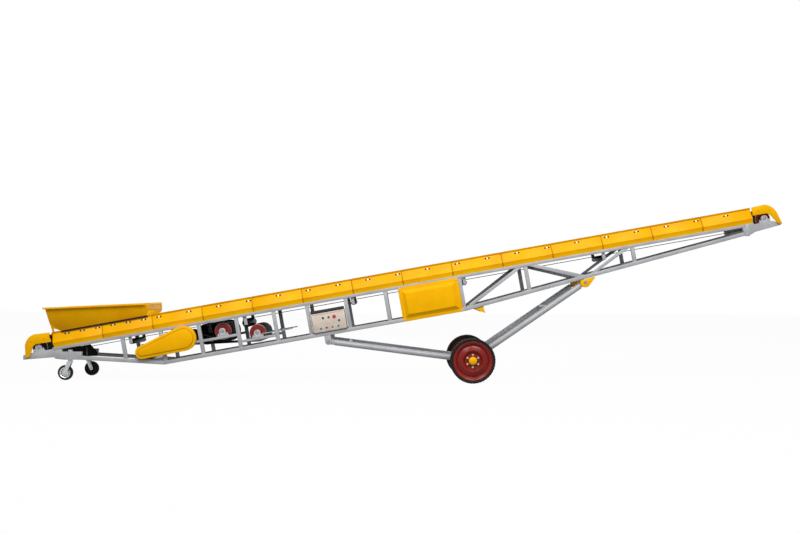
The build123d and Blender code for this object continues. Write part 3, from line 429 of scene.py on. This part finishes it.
def linked(name, mesh):
    """New object of a mesh, put in the scene."""
    obj = bpy.data.objects.new(name, mesh)
    bpy.context.scene.collection.objects.link(obj)
    return obj


def piece(name, mesh, body, material, stands_for=()):
    """Finished piece that rides on a body, and stands for solids where it is their dressed shape."""
    mesh.materials.clear()
    mesh.materials.append(material)
    smooth(mesh)
    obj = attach(linked(name, mesh), body)
    if stands_for:
        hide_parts(*stands_for)
    return obj


def rounded(mesh, width, segments=2, degrees=28):
    """The mesh with its sharp edges rounded by a width in mm."""
    obj = linked("rounding", mesh)
    bevel = obj.modifiers.new("Edges", "BEVEL")
    bevel.width = width * mm
    bevel.segments = segments
    bevel.limit_method = "ANGLE"
    bevel.angle_limit = math.radians(degrees)
    return evaluated_mesh(obj)


def clean_copy(node):
    """Merged copy of a solid's mesh, with whole faces in place of its triangles."""
    work = bmesh.new()
    work.from_mesh(nodes[node].data)
    bmesh.ops.remove_doubles(work, verts=work.verts, dist=solid_merge)
    bmesh.ops.dissolve_limit(work, angle_limit=math.radians(flat_angle), verts=work.verts, edges=work.edges)
    mesh = bpy.data.meshes.new(node + "_copy")
    work.to_mesh(mesh)
    work.free()
    return mesh


def dress(node, width, material):
    """Show a solid with rounded edges and its real finish."""
    mesh = clean_copy(node)
    if width:
        mesh = rounded(mesh, width)
    return piece(node + "_dressed", mesh, nodes[node]["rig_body"], material, [node])


def mesh_of(work, name):
    """Mesh of a finished work shape, merged and with its faces turned outwards."""
    bmesh.ops.remove_doubles(work, verts=work.verts, dist=shape_merge)
    bmesh.ops.recalc_face_normals(work, faces=work.faces)
    mesh = bpy.data.meshes.new(name)
    work.to_mesh(mesh)
    work.free()
    return mesh


def lathe(profile, place, steps=96):
    """Closed (radius, outwards) profile turned about the Z axis of a place, as a mesh."""
    work = bmesh.new()
    rings = []
    for i in range(steps):
        angle = 2 * math.pi * i / steps
        rings.append([work.verts.new(place @ (Vector((r * math.cos(angle), r * math.sin(angle), out)) * mm))
                      for r, out in profile])
    for ring, after in zip(rings, rings[1:] + rings[:1]):
        for j in range(len(profile)):
            corners = [ring[j], after[j], after[j - 1], ring[j - 1]]
            work.faces.new(corners)
    bmesh.ops.dissolve_degenerate(work, dist=least_edge, edges=work.edges)
    return mesh_of(work, "turned")


def prism(outline, low, high, place):
    """(along, up) outline spread across from low to high, placed by a matrix, as a mesh."""
    work = bmesh.new()
    near = [work.verts.new(place @ (Vector((x, low, z)) * mm)) for x, z in outline]
    far = [work.verts.new(place @ (Vector((x, high, z)) * mm)) for x, z in outline]
    work.faces.new(near)
    work.faces.new(far)
    for i in range(len(outline)):
        work.faces.new([near[i - 1], near[i], far[i], far[i - 1]])
    return mesh_of(work, "prism")


def plate(points, offset, place):
    """Flat outline of (along, across, up) points thickened by an offset, as a mesh."""
    work = bmesh.new()
    front = [work.verts.new(place @ (Vector(point) * mm)) for point in points]
    back = [work.verts.new(place @ ((Vector(point) + Vector(offset)) * mm)) for point in points]
    work.faces.new(front)
    work.faces.new(back)
    for i in range(len(points)):
        work.faces.new([front[i - 1], front[i], back[i], back[i - 1]])
    return mesh_of(work, "plate")


def joined(meshes):
    """One mesh made of several."""
    work = bmesh.new()
    for mesh in meshes:
        work.from_mesh(mesh)
    mesh = bpy.data.meshes.new("joined")
    work.to_mesh(mesh)
    work.free()
    return mesh


def rectangle(left, foot, right, top):
    """Corners of a rectangle as (along, up) points."""
    return (left, foot), (right, foot), (right, top), (left, top)


def on_both_sides(outline, across, half):
    """Prisms of one outline at a distance on both sides of the centre plane."""
    return [prism(outline, sign * across - half, sign * across + half, boom) for _, sign in sides]


def ring_plate(outer, inner, low, high, place):
    """Flat ring between two outlines with the same number of points, as a mesh."""
    work = bmesh.new()
    rows = [[work.verts.new(place @ (Vector((x, across, z)) * mm)) for x, z in outline]
            for across in (low, high) for outline in (outer, inner)]
    for i in range(len(outer)):
        for first, second in ((0, 1), (1, 3), (3, 2), (2, 0)):
            work.faces.new([rows[first][i - 1], rows[first][i], rows[second][i], rows[second][i - 1]])
    return mesh_of(work, "ring")


def kept_faces(mesh, keeps):
    """Copy of a mesh with only the faces whose middle passes a test."""
    work = bmesh.new()
    work.from_mesh(mesh)
    dropped = [face for face in work.faces if not keeps(face.calc_center_median())]
    bmesh.ops.delete(work, geom=dropped, context="FACES")
    mesh = bpy.data.meshes.new("kept")
    work.to_mesh(mesh)
    work.free()
    return mesh


def drilled(mesh, holes, place):
    """The mesh with a ring of round holes through it along a place's Z."""
    count, ring, radius = holes
    work = bmesh.new()
    for i in range(count):
        angle = 2 * math.pi * i / count
        spot = place @ Matrix.Translation(Vector((ring * math.cos(angle), ring * math.sin(angle), 0)) * mm)
        bmesh.ops.create_cone(work, cap_ends=True, segments=drill_sides, radius1=radius * mm,
                              radius2=radius * mm, depth=drill_depth * mm, matrix=spot)
    cutter = linked("drill", mesh_of(work, "drill"))
    obj = linked("drilled", mesh)
    cut = obj.modifiers.new("Holes", "BOOLEAN")
    cut.object = cutter
    cut.solver = "EXACT"
    result = evaluated_mesh(obj)
    bpy.data.objects.remove(cutter)
    return result


# Repeated shapes

def tree_for(name, given, sizes):
    """New geometry tree with its inputs: what it is given, some sizes and a material."""
    tree = bpy.data.node_groups.new(name, "GeometryNodeTree")
    sockets = tree.interface
    sockets.new_socket(given, in_out="INPUT", socket_type="NodeSocketGeometry")
    for label in sizes:
        sockets.new_socket(label, in_out="INPUT", socket_type="NodeSocketFloat")
    sockets.new_socket("Material", in_out="INPUT", socket_type="NodeSocketMaterial")
    sockets.new_socket("Geometry", in_out="OUTPUT", socket_type="NodeSocketGeometry")
    return tree, put(tree, "NodeGroupInput").outputs


def end_tree(tree, start, placed):
    """Turn placed instances into a painted mesh, the tree's result."""
    real = put(tree, "GeometryNodeRealizeInstances", {}, {"Geometry": placed.outputs[0]})
    painted = put(tree, "GeometryNodeSetMaterial", {},
                  {"Geometry": real.outputs[0], "Material": start["Material"]})
    put(tree, "NodeGroupOutput", {}, {"Geometry": painted.outputs[0]})
    return tree


def repeat_tree(name, sizes, shape):
    """Tree that sets one shape on every point, its Z along `facing` and its X along `heading`."""
    tree, start = tree_for(name, "Points", sizes)
    facing, heading = [put(tree, "GeometryNodeInputNamedAttribute",
                           {"data_type": "FLOAT_VECTOR", "Name": label}).outputs["Attribute"]
                       for label in ("facing", "heading")]
    upright = put(tree, "FunctionNodeAlignRotationToVector", {"axis": "Z"}, {"Vector": facing})
    turned = put(tree, "FunctionNodeAlignRotationToVector", {"axis": "X", "pivot_axis": "Z"},
                 {"Rotation": upright.outputs[0], "Vector": heading})
    placed = put(tree, "GeometryNodeInstanceOnPoints", {},
                 {"Points": start["Points"], "Instance": shape(tree, start), "Rotation": turned.outputs[0]})
    return end_tree(tree, start, placed)


def raised(tree, solid, height):
    """A shape centred on its point, raised by half its height."""
    half = put(tree, "ShaderNodeMath", {"operation": "MULTIPLY", 1: 0.5}, {0: height})
    lift = put(tree, "ShaderNodeCombineXYZ", {}, {"Z": half.outputs[0]})
    moved = put(tree, "GeometryNodeTransform", {}, {"Geometry": solid, "Translation": lift.outputs[0]})
    return moved.outputs[0]


def disc(tree, count, radius, height):
    """Prism of count sides that stands on its point."""
    solid = put(tree, "GeometryNodeMeshCylinder", {"Vertices": count}, {"Radius": radius, "Depth": height})
    return raised(tree, solid.outputs["Mesh"], height)


def bolt_shape(tree, start):
    """Round washer, hexagon head and the round end of the bolt."""
    together = put(tree, "GeometryNodeJoinGeometry")
    for count, label in ((18, "Washer"), (6, "Head"), (12, "End")):
        part = disc(tree, count, start[label + " Radius"], start[label + " Height"])
        tree.links.new(part, together.inputs[0])
    return together.outputs[0]


def bar_shape(tree, start):
    """Bar with its length along the heading."""
    size = put(tree, "ShaderNodeCombineXYZ", {},
               {"X": start["Length"], "Y": start["Width"], "Z": start["Height"]})
    bar = put(tree, "GeometryNodeMeshCube", {}, {"Size": size.outputs[0]})
    return raised(tree, bar.outputs["Mesh"], start["Height"])


def thread_shape(tree, start):
    """Screw rod along the facing: a core and one helical ridge."""
    turns = put(tree, "ShaderNodeMath", {"operation": "DIVIDE"}, {0: start["Length"], 1: start["Pitch"]})
    helix = put(tree, "GeometryNodeCurveSpiral", {"Resolution": helix_steps},
                {"Rotations": turns.outputs[0], "Start Radius": start["Radius"],
                 "End Radius": start["Radius"], "Height": start["Length"]})
    ridge = put(tree, "GeometryNodeCurvePrimitiveCircle", {"Resolution": ridge_sides},
                {"Radius": start["Ridge"]})
    wound = put(tree, "GeometryNodeCurveToMesh", {"Fill Caps": True},
                {"Curve": helix.outputs[0], "Profile Curve": ridge.outputs[0]})
    together = put(tree, "GeometryNodeJoinGeometry")
    tree.links.new(wound.outputs[0], together.inputs[0])
    tree.links.new(disc(tree, core_sides, start["Radius"], start["Length"]), together.inputs[0])
    return together.outputs[0]


def weld_tree():
    """Tree that lays overlapping beads along the edges it is given."""
    tree, start = tree_for("weld", "Seams", ("Bead", "Pitch"))
    line = put(tree, "GeometryNodeMeshToCurve", {}, {"Mesh": start["Seams"]})
    steps = put(tree, "GeometryNodeResampleCurve", {"mode": "LENGTH"},
                {"Curve": line.outputs[0], "Length": start["Pitch"]})
    bead = put(tree, "GeometryNodeMeshIcoSphere", {"Subdivisions": 1}, {"Radius": start["Bead"]})
    scale = put(tree, "FunctionNodeRandomValue",
                {"data_type": "FLOAT", 2: bead_scale[0], 3: bead_scale[1], "Seed": 7})
    placed = put(tree, "GeometryNodeInstanceOnPoints", {},
                 {"Points": steps.outputs[0], "Instance": bead.outputs["Mesh"], "Scale": scale.outputs[1]})
    return end_tree(tree, start, placed)


bolts = repeat_tree("bolts", ("Washer Radius", "Washer Height", "Head Radius", "Head Height", "End Radius",
                              "End Height"), bolt_shape)
bars = repeat_tree("bars", ("Length", "Width", "Height"), bar_shape)
threads = repeat_tree("threads", ("Length", "Radius", "Pitch", "Ridge"), thread_shape)


def grown(obj, tree, sizes, material):
    """Plain mesh that a tree makes from an object, with sizes in mm; the object is removed."""
    modifier = obj.modifiers.new("Repeat", "NODES")
    modifier.node_group = tree
    inputs = [item.identifier for item in tree.interface.items_tree if item.in_out == "INPUT"][1:]
    for key, size in zip(inputs, sizes):
        modifier[key] = size * mm
    modifier[inputs[-1]] = material
    return evaluated_mesh(obj)


def repeat(name, tree, sizes, places, place, body, material):
    """Repeated shape on (point, facing, heading) places of a matrix, as one plain mesh."""
    turn = place.to_3x3()
    mesh = bpy.data.meshes.new(name + "_points")
    mesh.from_pydata([place @ (Vector(point) * mm) for point, _, _ in places], [], [])
    for column, label in ((1, "facing"), (2, "heading")):
        directions = mesh.attributes.new(label, "FLOAT_VECTOR", "POINT")
        for item, row in zip(directions.data, places):
            item.vector = turn @ Vector(row[column])
    obj = linked(name + "_points", mesh)
    return piece(name, grown(obj, tree, sizes, material), body, material)


def weld(name, seams, body, material):
    """Weld beads along (first, second) seams, points of the row frame in metres."""
    ends = [point for seam in seams for point in seam]
    mesh = bpy.data.meshes.new(name + "_seams")
    mesh.from_pydata(ends, [(2 * i, 2 * i + 1) for i in range(len(seams))], [])
    obj = linked(name + "_seams", mesh)
    return piece(name, grown(obj, weld_tree(), weld_sizes, material), body, material)


# Solids with rounded edges: node, edge width, finish
dressed = (
    ("top_chords", 4.0, silver_enamel), ("bottom_chords", 5.0, silver_enamel),
    ("truss_posts", 4.0, silver_enamel), ("truss_diagonals", 4.0, silver_enamel),
    ("cross_members", 4.0, silver_enamel), ("tail_side_plates", 2.0, silver_enamel),
    ("head_side_plates", 2.0, silver_enamel), ("drum_rails", 3.0, silver_enamel),
    ("arm_hangers", 2.0, silver_enamel), ("motor_base", 2.0, silver_enamel),
    ("lower_arm_tubes", 2.0, silver_enamel), ("lower_arm_cross_tube", 1.0, silver_enamel),
    ("strut_tubes", 2.0, silver_enamel), ("strut_cross_tube", 1.0, silver_enamel),
    ("axle_beam", 2.0, black_enamel), ("idler_cross_bars", 1.0, silver_enamel),
    ("idler_roll_brackets", 1.0, silver_enamel), ("return_roller_brackets", 1.0, silver_enamel),
    ("trough_idler_rolls", 4.0, black_enamel), ("return_rollers", 3.0, black_enamel),
    ("end_pulleys", 3.0, turned_steel), ("drive_drums", 3.0, turned_steel),
    ("end_pulley_bearings", 4.0, cast_iron_paint), ("drum_pillow_blocks", 4.0, cast_iron_paint),
    ("skirt_panels_near", 1.0, yellow_enamel), ("skirt_panels_far", 1.0, yellow_enamel),
    ("hopper_walls", 1.2, yellow_enamel), ("tail_guard", 2.5, yellow_enamel),
    ("head_guard", 2.5, yellow_enamel), ("drive_guard", 3.0, yellow_enamel),
    ("gear_cover", 6.0, black_enamel), ("nameplate_cover", 3.0, yellow_enamel),
    ("lift_stops", 2.0, yellow_enamel), ("trolley_frames", 1.5, yellow_enamel),
    ("control_box", 1.5, beige_powder), ("control_box_door", 2.5, beige_powder),
    ("castor_near_fork", 1.5, zinc_plate), ("castor_far_fork", 1.5, zinc_plate),
    ("belt_carrying_run", 0.0, belt_rubber), ("belt_return_runs", 0.0, belt_rubber),
    ("belt_drum_wraps", 0.0, belt_rubber))
for node, width, material in dressed:
    dress(node, width, material)

# Drum ends: red ones, and black ones on the tail pulley that paint the shade inside the tail guard
drum_ends = rounded(clean_copy("drum_end_discs"), width=1.5)
tail_reach = (tail_pulley_x + tail_disc_room) * mm
red_ends = kept_faces(drum_ends, lambda middle: middle.x > tail_reach)
tail_shade_ends = kept_faces(drum_ends, lambda middle: middle.x < tail_reach)
piece("drum_end_discs_dressed", red_ends, "boom", red_enamel, ["drum_end_discs"])
piece("tail_end_shade_discs", tail_shade_ends, "boom", black_enamel)


# Wheels and castors

def facing_out(x, across, z, sign):
    """Place at a wheel's middle whose Z points outwards on its side."""
    return Matrix.Translation(Vector((x, across, z)) * mm) @ Matrix.Rotation(-sign * math.pi / 2, 4, "X")


def ring_places(count, radius, out, along_axis):
    """Places in a ring about a Z axis: facing along it, or away from it with the heading along it."""
    rows = []
    for i in range(count):
        angle = 2 * math.pi * (i + 0.5) / count
        spoke = (math.cos(angle), math.sin(angle), 0)
        point = (spoke[0] * radius, spoke[1] * radius, out)
        rows.append((point, (0, 0, 1), spoke) if along_axis else (point, spoke, (0, 0, 1)))
    return rows


for side, sign in sides:
    body = "wheel_" + side
    place = facing_out(axle_x, sign * wheel_half_track, wheel_radius, sign)
    tyre = rounded(lathe(tyre_profile, place, wheel_steps), width=1.0, segments=1)
    piece(body + "_tyre_dressed", tyre, body, tyre_rubber, [body + "_tyre"])
    disc_wheel = rounded(lathe(rim_profile, place, wheel_steps), width=3.0, segments=3, degrees=15)
    piece(body + "_disc", disc_wheel, body, red_enamel, [body + "_rim"])
    piece(body + "_hub_cap", lathe(cap_profile, place), body, yellow_enamel, [body + "_cap"])
    repeat(body + "_hub_bolts", bolts, m12_stud, ring_places(*hub_bolt_ring, True), place, body,
           zinc_plate)
    for label, edge in (("_lugs_in", -1), ("_lugs_out", 1)):
        shoulder = ring_places(lug_count, lug_radius, edge * lug_out, False)
        repeat(body + label, bars, lug_bar, shoulder, place, body, tyre_rubber)

    fork = f"castor_{side}_swivel"
    wheel = f"castor_{side}_wheel"
    axle = castor_x + sign * castor_trail
    place = facing_out(axle, sign * frame_half, castor_radius, sign)
    piece(wheel + "_tyre", lathe(castor_tyre_profile, place, castor_steps), wheel, tyre_rubber,
          [f"castor_{side}_tyre"])
    hub = drilled(lathe(castor_hub_profile, place, castor_steps), castor_holes, place)
    # Bare zinc on the near castor; black on the far one is painted shade, where the boom shades it.
    hub_finish_and_shade = zinc_plate if side == "near" else black_enamel
    piece(wheel + "_hub", rounded(hub, width=0.8, segments=1), wheel, hub_finish_and_shade,
          [f"castor_{side}_hub"])
    # Black disc in the hub's middle paints the shade in its holes.
    piece(wheel + "_hole_shade", lathe(castor_hole_shade_profile, place, hole_shade_steps), wheel, black_plastic)
    ends = [((0, 0, way * castor_nut_out), (0, 0, way), (1, 0, 0)) for way in (-1, 1)]
    repeat(fork + "_axle_nuts", bolts, m12_stud, ends, place, fork, zinc_plate)


# Drive motor: finned housing, end shields, fan cover, feet and terminal box
motor_middle = Vector((motor_at[0], 0, motor_at[1])) * mm
motor_place = boom @ Matrix.Translation(motor_middle) @ Matrix.Rotation(-math.pi / 2, 4, "X")
terminals = prism(rectangle(*terminal_box), *terminal_box_ends, boom)
motor_shell = joined([rounded(lathe(motor_body, motor_place, motor_steps), width=1.5),
                      lathe(motor_shaft, motor_place, shaft_steps),
                      rounded(prism(motor_foot, *motor_foot_ends, boom), width=2.0),
                      rounded(terminals, width=5.0, segments=3)])
piece("motor_housing", motor_shell, "boom", motor_enamel, ["drive_motor"])
repeat("motor_fins", bars, fin_bar, ring_places(*fin_ring, False), motor_place, "boom",
       motor_enamel)
repeat("motor_fan_grille", bars, grille_bar, ring_places(*grille_ring, True), motor_place, "boom",
       motor_enamel)


# Pressed groove round the belt guard: a ring between two outlines round its two pulleys, a little proud of
# the face, in darker enamel that paints the groove's shade

def guard_outline(inset):
    """Outline round the two pulleys, moved in from the guard's edge, as (along, up) points."""
    (x1, z1), (x2, z2) = motor_at, drive_drum
    r1, r2 = [radius - inset for radius in guard_radii]
    tilt = math.atan2(z2 - z1, x2 - x1)
    open_angle = math.acos((r1 - r2) / math.hypot(x2 - x1, z2 - z1))
    points = []
    for x, z, r, first, last in ((x2, z2, r2, tilt - open_angle, tilt + open_angle),
                                 (x1, z1, r1, tilt + open_angle, tilt + 2 * math.pi - open_angle)):
        for i in range(guard_steps + 1):
            angle = first + (last - first) * i / guard_steps
            points.append((x + r * math.cos(angle), z + r * math.sin(angle)))
    return points


outlines = [guard_outline(inset) for inset in groove_insets]
groove = ring_plate(*outlines, guard_face + groove_ends[0], guard_face + groove_ends[1], boom)
piece("belt_guard_groove", groove, "boom", yellow_shade_enamel)


# Take-up screws
screw_rows = [((screw_start, sign * screw_across, screw_up), along_boom, (0, 0, 1)) for _, sign in sides]
screws = repeat("takeup_screw_rods", threads, (screw_end - screw_start, *screw_thread), screw_rows, boom,
                "boom", turned_steel)
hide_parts("takeup_screws")
nut_block = rectangle(screw_post - post_width / 2, screw_up - nut_block_half,
                      screw_post + post_width / 2, screw_up + nut_block_half)
nut_blocks = [rounded(block, width=3.0) for block in on_both_sides(nut_block, screw_across, nut_block_half)]
piece("takeup_nut_blocks", joined(nut_blocks), "boom", turned_steel)
nut_rows = [((screw_post + way * lock_nut_out, sign * screw_across, screw_up), (way, 0, 0), (0, 0, 1))
            for _, sign in sides for way in (-1, 1)]
repeat("takeup_lock_nuts", bolts, lock_nut, nut_rows, boom, "boom", zinc_plate)


# Fasteners
for side, sign in sides:
    facing = (0, sign * skirt_face[0], skirt_face[1])
    rows = [((at + way * skirt_bolt_spread, sign * skirt_bolt_across, skirt_bolt_up), facing, along_boom)
            for at in idler_places for way in (-1, 1)]
    repeat("skirt_bolts_" + side, bolts, m8_bolt, rows, boom, "boom", black_enamel)
    rows = [((at, sign * skirt_bolt_across, skirt_bolt_up), facing, along_boom) for at in idler_places]
    repeat("skirt_tabs_" + side, bars, skirt_tab, rows, boom, "boom", zinc_plate)
    rows = [((at, sign * guard_bolt_across, up), (0, sign, 0), along_boom) for at, up in guard_bolts]
    repeat("end_guard_bolts_" + side, bolts, m10_bolt, rows, boom, "boom", yellow_enamel)
    rows = [((at + way * block_nut_spread, sign * frame_half, up), (0, 0, 1), along_boom)
            for at, up in block_feet for way in (-1, 1)]
    repeat("bearing_block_nuts_" + side, bolts, m16_stud, rows, boom, "boom", zinc_plate)
    for label, pin, body in (("arm", arm_pin, "boom"), ("strut", strut_pin, "trolley")):
        rows = [((pin[0], sign * frame_half + way * pin_head_out, pin[1]), (0, way, 0), along_boom)
                for way in (-1, 1)]
        repeat(f"{label}_pin_heads_{side}", bolts, m20_pin, rows, boom, body, turned_steel)
rows = [((at, cover_bolt_across, up), (0, -1, 0), along_boom)
        for at in cover_bolt_columns for up in cover_bolt_rows]
repeat("cover_bolts", bolts, m10_bolt, rows, boom, "boom", zinc_plate)
spots = [(at, gear_axis_up + way * gear_bolt_reach) for at in gear_bolt_columns for way in (-1, 1)]
spots += [(at, gear_axis_up) for at in gear_bolt_ends]
rows = [((at, gear_bolt_across, up), (0, 1, 0), along_boom) for at, up in spots]
repeat("gear_cover_bolts", bolts, m10_bolt, rows, boom, "boom", zinc_plate)


# Weld seams at the feet and heads of the posts and diagonals

def chord_top(along):
    """Height of the bottom chord's upper face."""
    for (x1, z1), (x2, z2) in zip(chord_low, chord_low[1:]):
        if along <= x2:
            rise = (z2 - z1) / (x2 - x1)
            return z1 + rise * (along - x1) + bottom_chord * math.hypot(1, rise)


def web_seams(low, high, half):
    """Seams round both ends of a post or diagonal, on both sides."""
    seams = []
    for _, sign in sides:
        near = sign * frame_half - web_depth / 2
        far = sign * frame_half + web_depth / 2
        for middle, top in ((low, chord_top), (high, lambda along: deck_under)):
            first, last = [(middle + way * half, top(middle + way * half)) for way in (-1, 1)]
            outline = ((first, near), (last, near), (last, far), (first, far))
            points = [boom @ (Vector((x, y, z)) * mm) for (x, z), y in outline]
            seams += list(zip(points, points[1:] + points[:1]))
    return seams


seams = []
for at in post_places:
    seams += web_seams(at, at, post_width / 2)
for low, post, way in diagonals:
    face = post + way * (post_width / 2 + web_gap)
    rise = deck_under - chord_top(low)
    half = diagonal_width / 2 * math.hypot(face - low, rise) / rise
    seams += web_seams(low, face + way * half, half)
weld("truss_welds", seams, "boom", silver_enamel)


# Control box: raised lines on the door, rain strip and gland block
seam_foot = door_foot + door_seam
seam_top = door_top - door_lip
# Lines: piece, finish, rectangles.
# The seams' dark grey paints the shade in the gaps round the door.
door_lines = (("door_seams", seam_shade_powder, ((door_left, door_foot, door_right, seam_foot),
                                           (door_left, seam_foot, door_left + door_seam, seam_top),
                                           (door_right - door_seam, seam_foot, door_right, seam_top))),
              ("door_lip", beige_powder, ((door_left, seam_top, door_right, door_top),)))
for label, finish, rows in door_lines:
    strips = [prism(rectangle(*row), door_face - door_line_height, door_face, boom) for row in rows]
    piece(label, rounded(joined(strips), width=0.8), "box_door", finish)
rain_strip = prism(rain_section, -box_start - box_length, -box_start, across_boom)
piece("rain_strip", rounded(rain_strip, width=2.0), "boom", black_plastic)
gland = rounded(prism(gland_block, *gland_ends, boom), width=2.0)
piece("cable_gland_block", gland, "boom", black_plastic)

# Hopper: black rubber strips under its feet, a seal that also paints the shade of the gap above the skirts,
# and strips at its tail corners
seal_shade_strips = on_both_sides(rectangle(*hopper_seal_shade), hopper_seal_shade_across, hopper_seal_shade_half)
piece("hopper_seal_shade_strips", joined(seal_shade_strips), "boom", belt_rubber)
strips = []
for _, sign in sides:
    outline = [(along, sign * (hopper_foot_side + hopper_flare * (up - hopper_foot)), up)
               for along, up in corner_strip]
    strips.append(plate(outline, (0.0, sign * corner_strip_out, -corner_strip_down), boom))
piece("hopper_corner_strips", joined(strips), "boom", yellow_enamel)

# Straps over the skirts' joints, in the darker enamel: painted shade of the seams
straps = []
for i in range(1, skirt_count):
    middle = skirt_start + (skirt_end - skirt_start) / skirt_count * i
    for out1, up1, out2, up2 in strap_facets:
        lean = math.atan2(out1 - out2, up2 - up1)
        for _, sign in sides:
            corners = [(middle + way * strap_half, sign * (frame_half + out), deck + up)
                       for out, up, way in ((out1, up1, -1), (out1, up1, 1), (out2, up2, 1), (out2, up2, -1))]
            raise_by = (0.0, sign * strap_sheet * math.cos(lean), strap_sheet * math.sin(lean))
            straps.append(plate(corners, raise_by, boom))
piece("skirt_joint_straps", joined(straps), "boom", yellow_shade_enamel)

# Black rubber sheet inside the far end plate, painted shade where the far side lies in shadow, and latches at
# the tail guard's edge
piece("tail_shade_liner", prism(far_tail_shade_outline, *far_tail_shade_ends, boom), "boom", belt_rubber)
latches = [rounded(mesh, width=1.5) for mesh in on_both_sides(rectangle(*latch), latch_across, latch_half)]
piece("tail_guard_latches", joined(latches), "boom", black_enamel)

# Turned-down edges of the hopper's side rims, and the frame on its head wall
edges = []
for _, sign in sides:
    outline = [(along, sign * across, up + lift)
               for lift, ends in ((rim_edge_foot, (rim_tail, rim_head)), (rim_edge_top, (rim_head, rim_tail)))
               for along, across, up in ends]
    edges.append(rounded(plate(outline, (0.0, -sign * rim_edge_sheet, 0.0), boom), width=1.5))
piece("hopper_rim_edges", joined(edges), "boom", yellow_enamel)
head_frame = ring_plate(head_frame_outer, head_frame_inner, *head_frame_ends, across_boom)
piece("hopper_head_frame", rounded(head_frame, width=1.0), "boom", yellow_enamel)

# Black sheets between the belt's runs behind each end guard: painted shade inside the ends
shade_sheets = []
for row in end_shade_rows:
    shade_sheets += on_both_sides(rectangle(*row), end_shade_across, end_shade_half)
piece("end_shade_sheets", joined(shade_sheets), "boom", black_enamel)

# Buttons and lamps on the door
bezels = []
for i, (along, up, profile, colour) in enumerate(buttons):
    middle = Vector((along, door_face, up)) * mm
    place = boom @ Matrix.Translation(middle) @ Matrix.Rotation(math.pi / 2, 4, "X")
    bezels.append(lathe(bezel_profile, place, button_steps))
    cap = lathe(profile, place, button_steps)
    plastic = black_plastic if colour == "black" else button_plastic[colour]
    piece(f"door_button_{i + 1}", cap, "box_door", plastic)
piece("door_bezels", joined(bezels), "box_door", zinc_plate, ["door_buttons"])


# Stage: pale floor, white surroundings, soft studio light and the camera

def camera_sees(tree):
    """Factor that is 1 for rays that show the background itself, its mirror image or a view through glass."""
    path = put(tree, "ShaderNodeLightPath").outputs
    seen = path["Is Camera Ray"]
    for label in ("Is Glossy Ray", "Is Transmission Ray"):
        seen = put(tree, "ShaderNodeMath", {"operation": "MAXIMUM"}, {0: seen, 1: path[label]}).outputs[0]
    return seen


floor_mesh = bpy.data.meshes.new("floor")
floor_mesh.from_pydata([(x, y, 0) for x, y in rectangle(-floor_half, -floor_half, floor_half, floor_half)],
                       [], [(0, 1, 2, 3)])
floor = linked("floor", floor_mesh)
floor_paper = bpy.data.materials.new("floor_paper")
floor_paper.use_nodes = True
tree = floor_paper.node_tree
tree.nodes.clear()
matt = put(tree, "ShaderNodeBsdfDiffuse", {"Color": linear(floor_colour)})
glow = put(tree, "ShaderNodeEmission", {"Color": (1, 1, 1, 1), "Strength": floor_glow})
share = put(tree, "ShaderNodeMath", {"operation": "MULTIPLY", 1: floor_glow_share}, {0: camera_sees(tree)})
mixed = put(tree, "ShaderNodeMixShader", {}, {0: share.outputs[0], 1: matt.outputs[0], 2: glow.outputs[0]})
put(tree, "ShaderNodeOutputMaterial", {}, {"Surface": mixed.outputs[0]})
floor_mesh.materials.append(floor_paper)

scene = bpy.context.scene
scene.view_settings.view_transform = "Standard"
scene.world = bpy.data.worlds.new("studio")
scene.world.use_nodes = True
tree = scene.world.node_tree
tree.nodes.clear()
ambient = put(tree, "ShaderNodeBackground", {"Color": (1, 1, 1, 1), "Strength": ambient_strength})
white = put(tree, "ShaderNodeBackground", {"Color": (1, 1, 1, 1), "Strength": 1.0})
mixed = put(tree, "ShaderNodeMixShader", {},
            {0: camera_sees(tree), 1: ambient.outputs[0], 2: white.outputs[0]})
put(tree, "ShaderNodeOutputWorld", {}, {"Surface": mixed.outputs[0]})

for name, spot, size, power in lamps:
    lamp = bpy.data.lights.new(name, "AREA")
    lamp.size = size
    lamp.energy = power
    obj = bpy.data.objects.new(name, lamp)
    obj.location = spot
    obj.rotation_euler = (lamp_aim - Vector(spot)).to_track_quat("-Z", "Y").to_euler()
    scene.collection.objects.link(obj)

camera_data = bpy.data.cameras.new("camera")
camera_data.lens = camera_lens
camera_data.sensor_width = camera_sensor
camera_data.shift_x = camera_shift[0] / picture_width
camera_data.shift_y = camera_shift[1] / picture_width
camera = bpy.data.objects.new("camera", camera_data)
camera.location = camera_place
camera.rotation_euler = (math.pi / 2, camera_roll, 0)
scene.collection.objects.link(camera)
scene.camera = camera
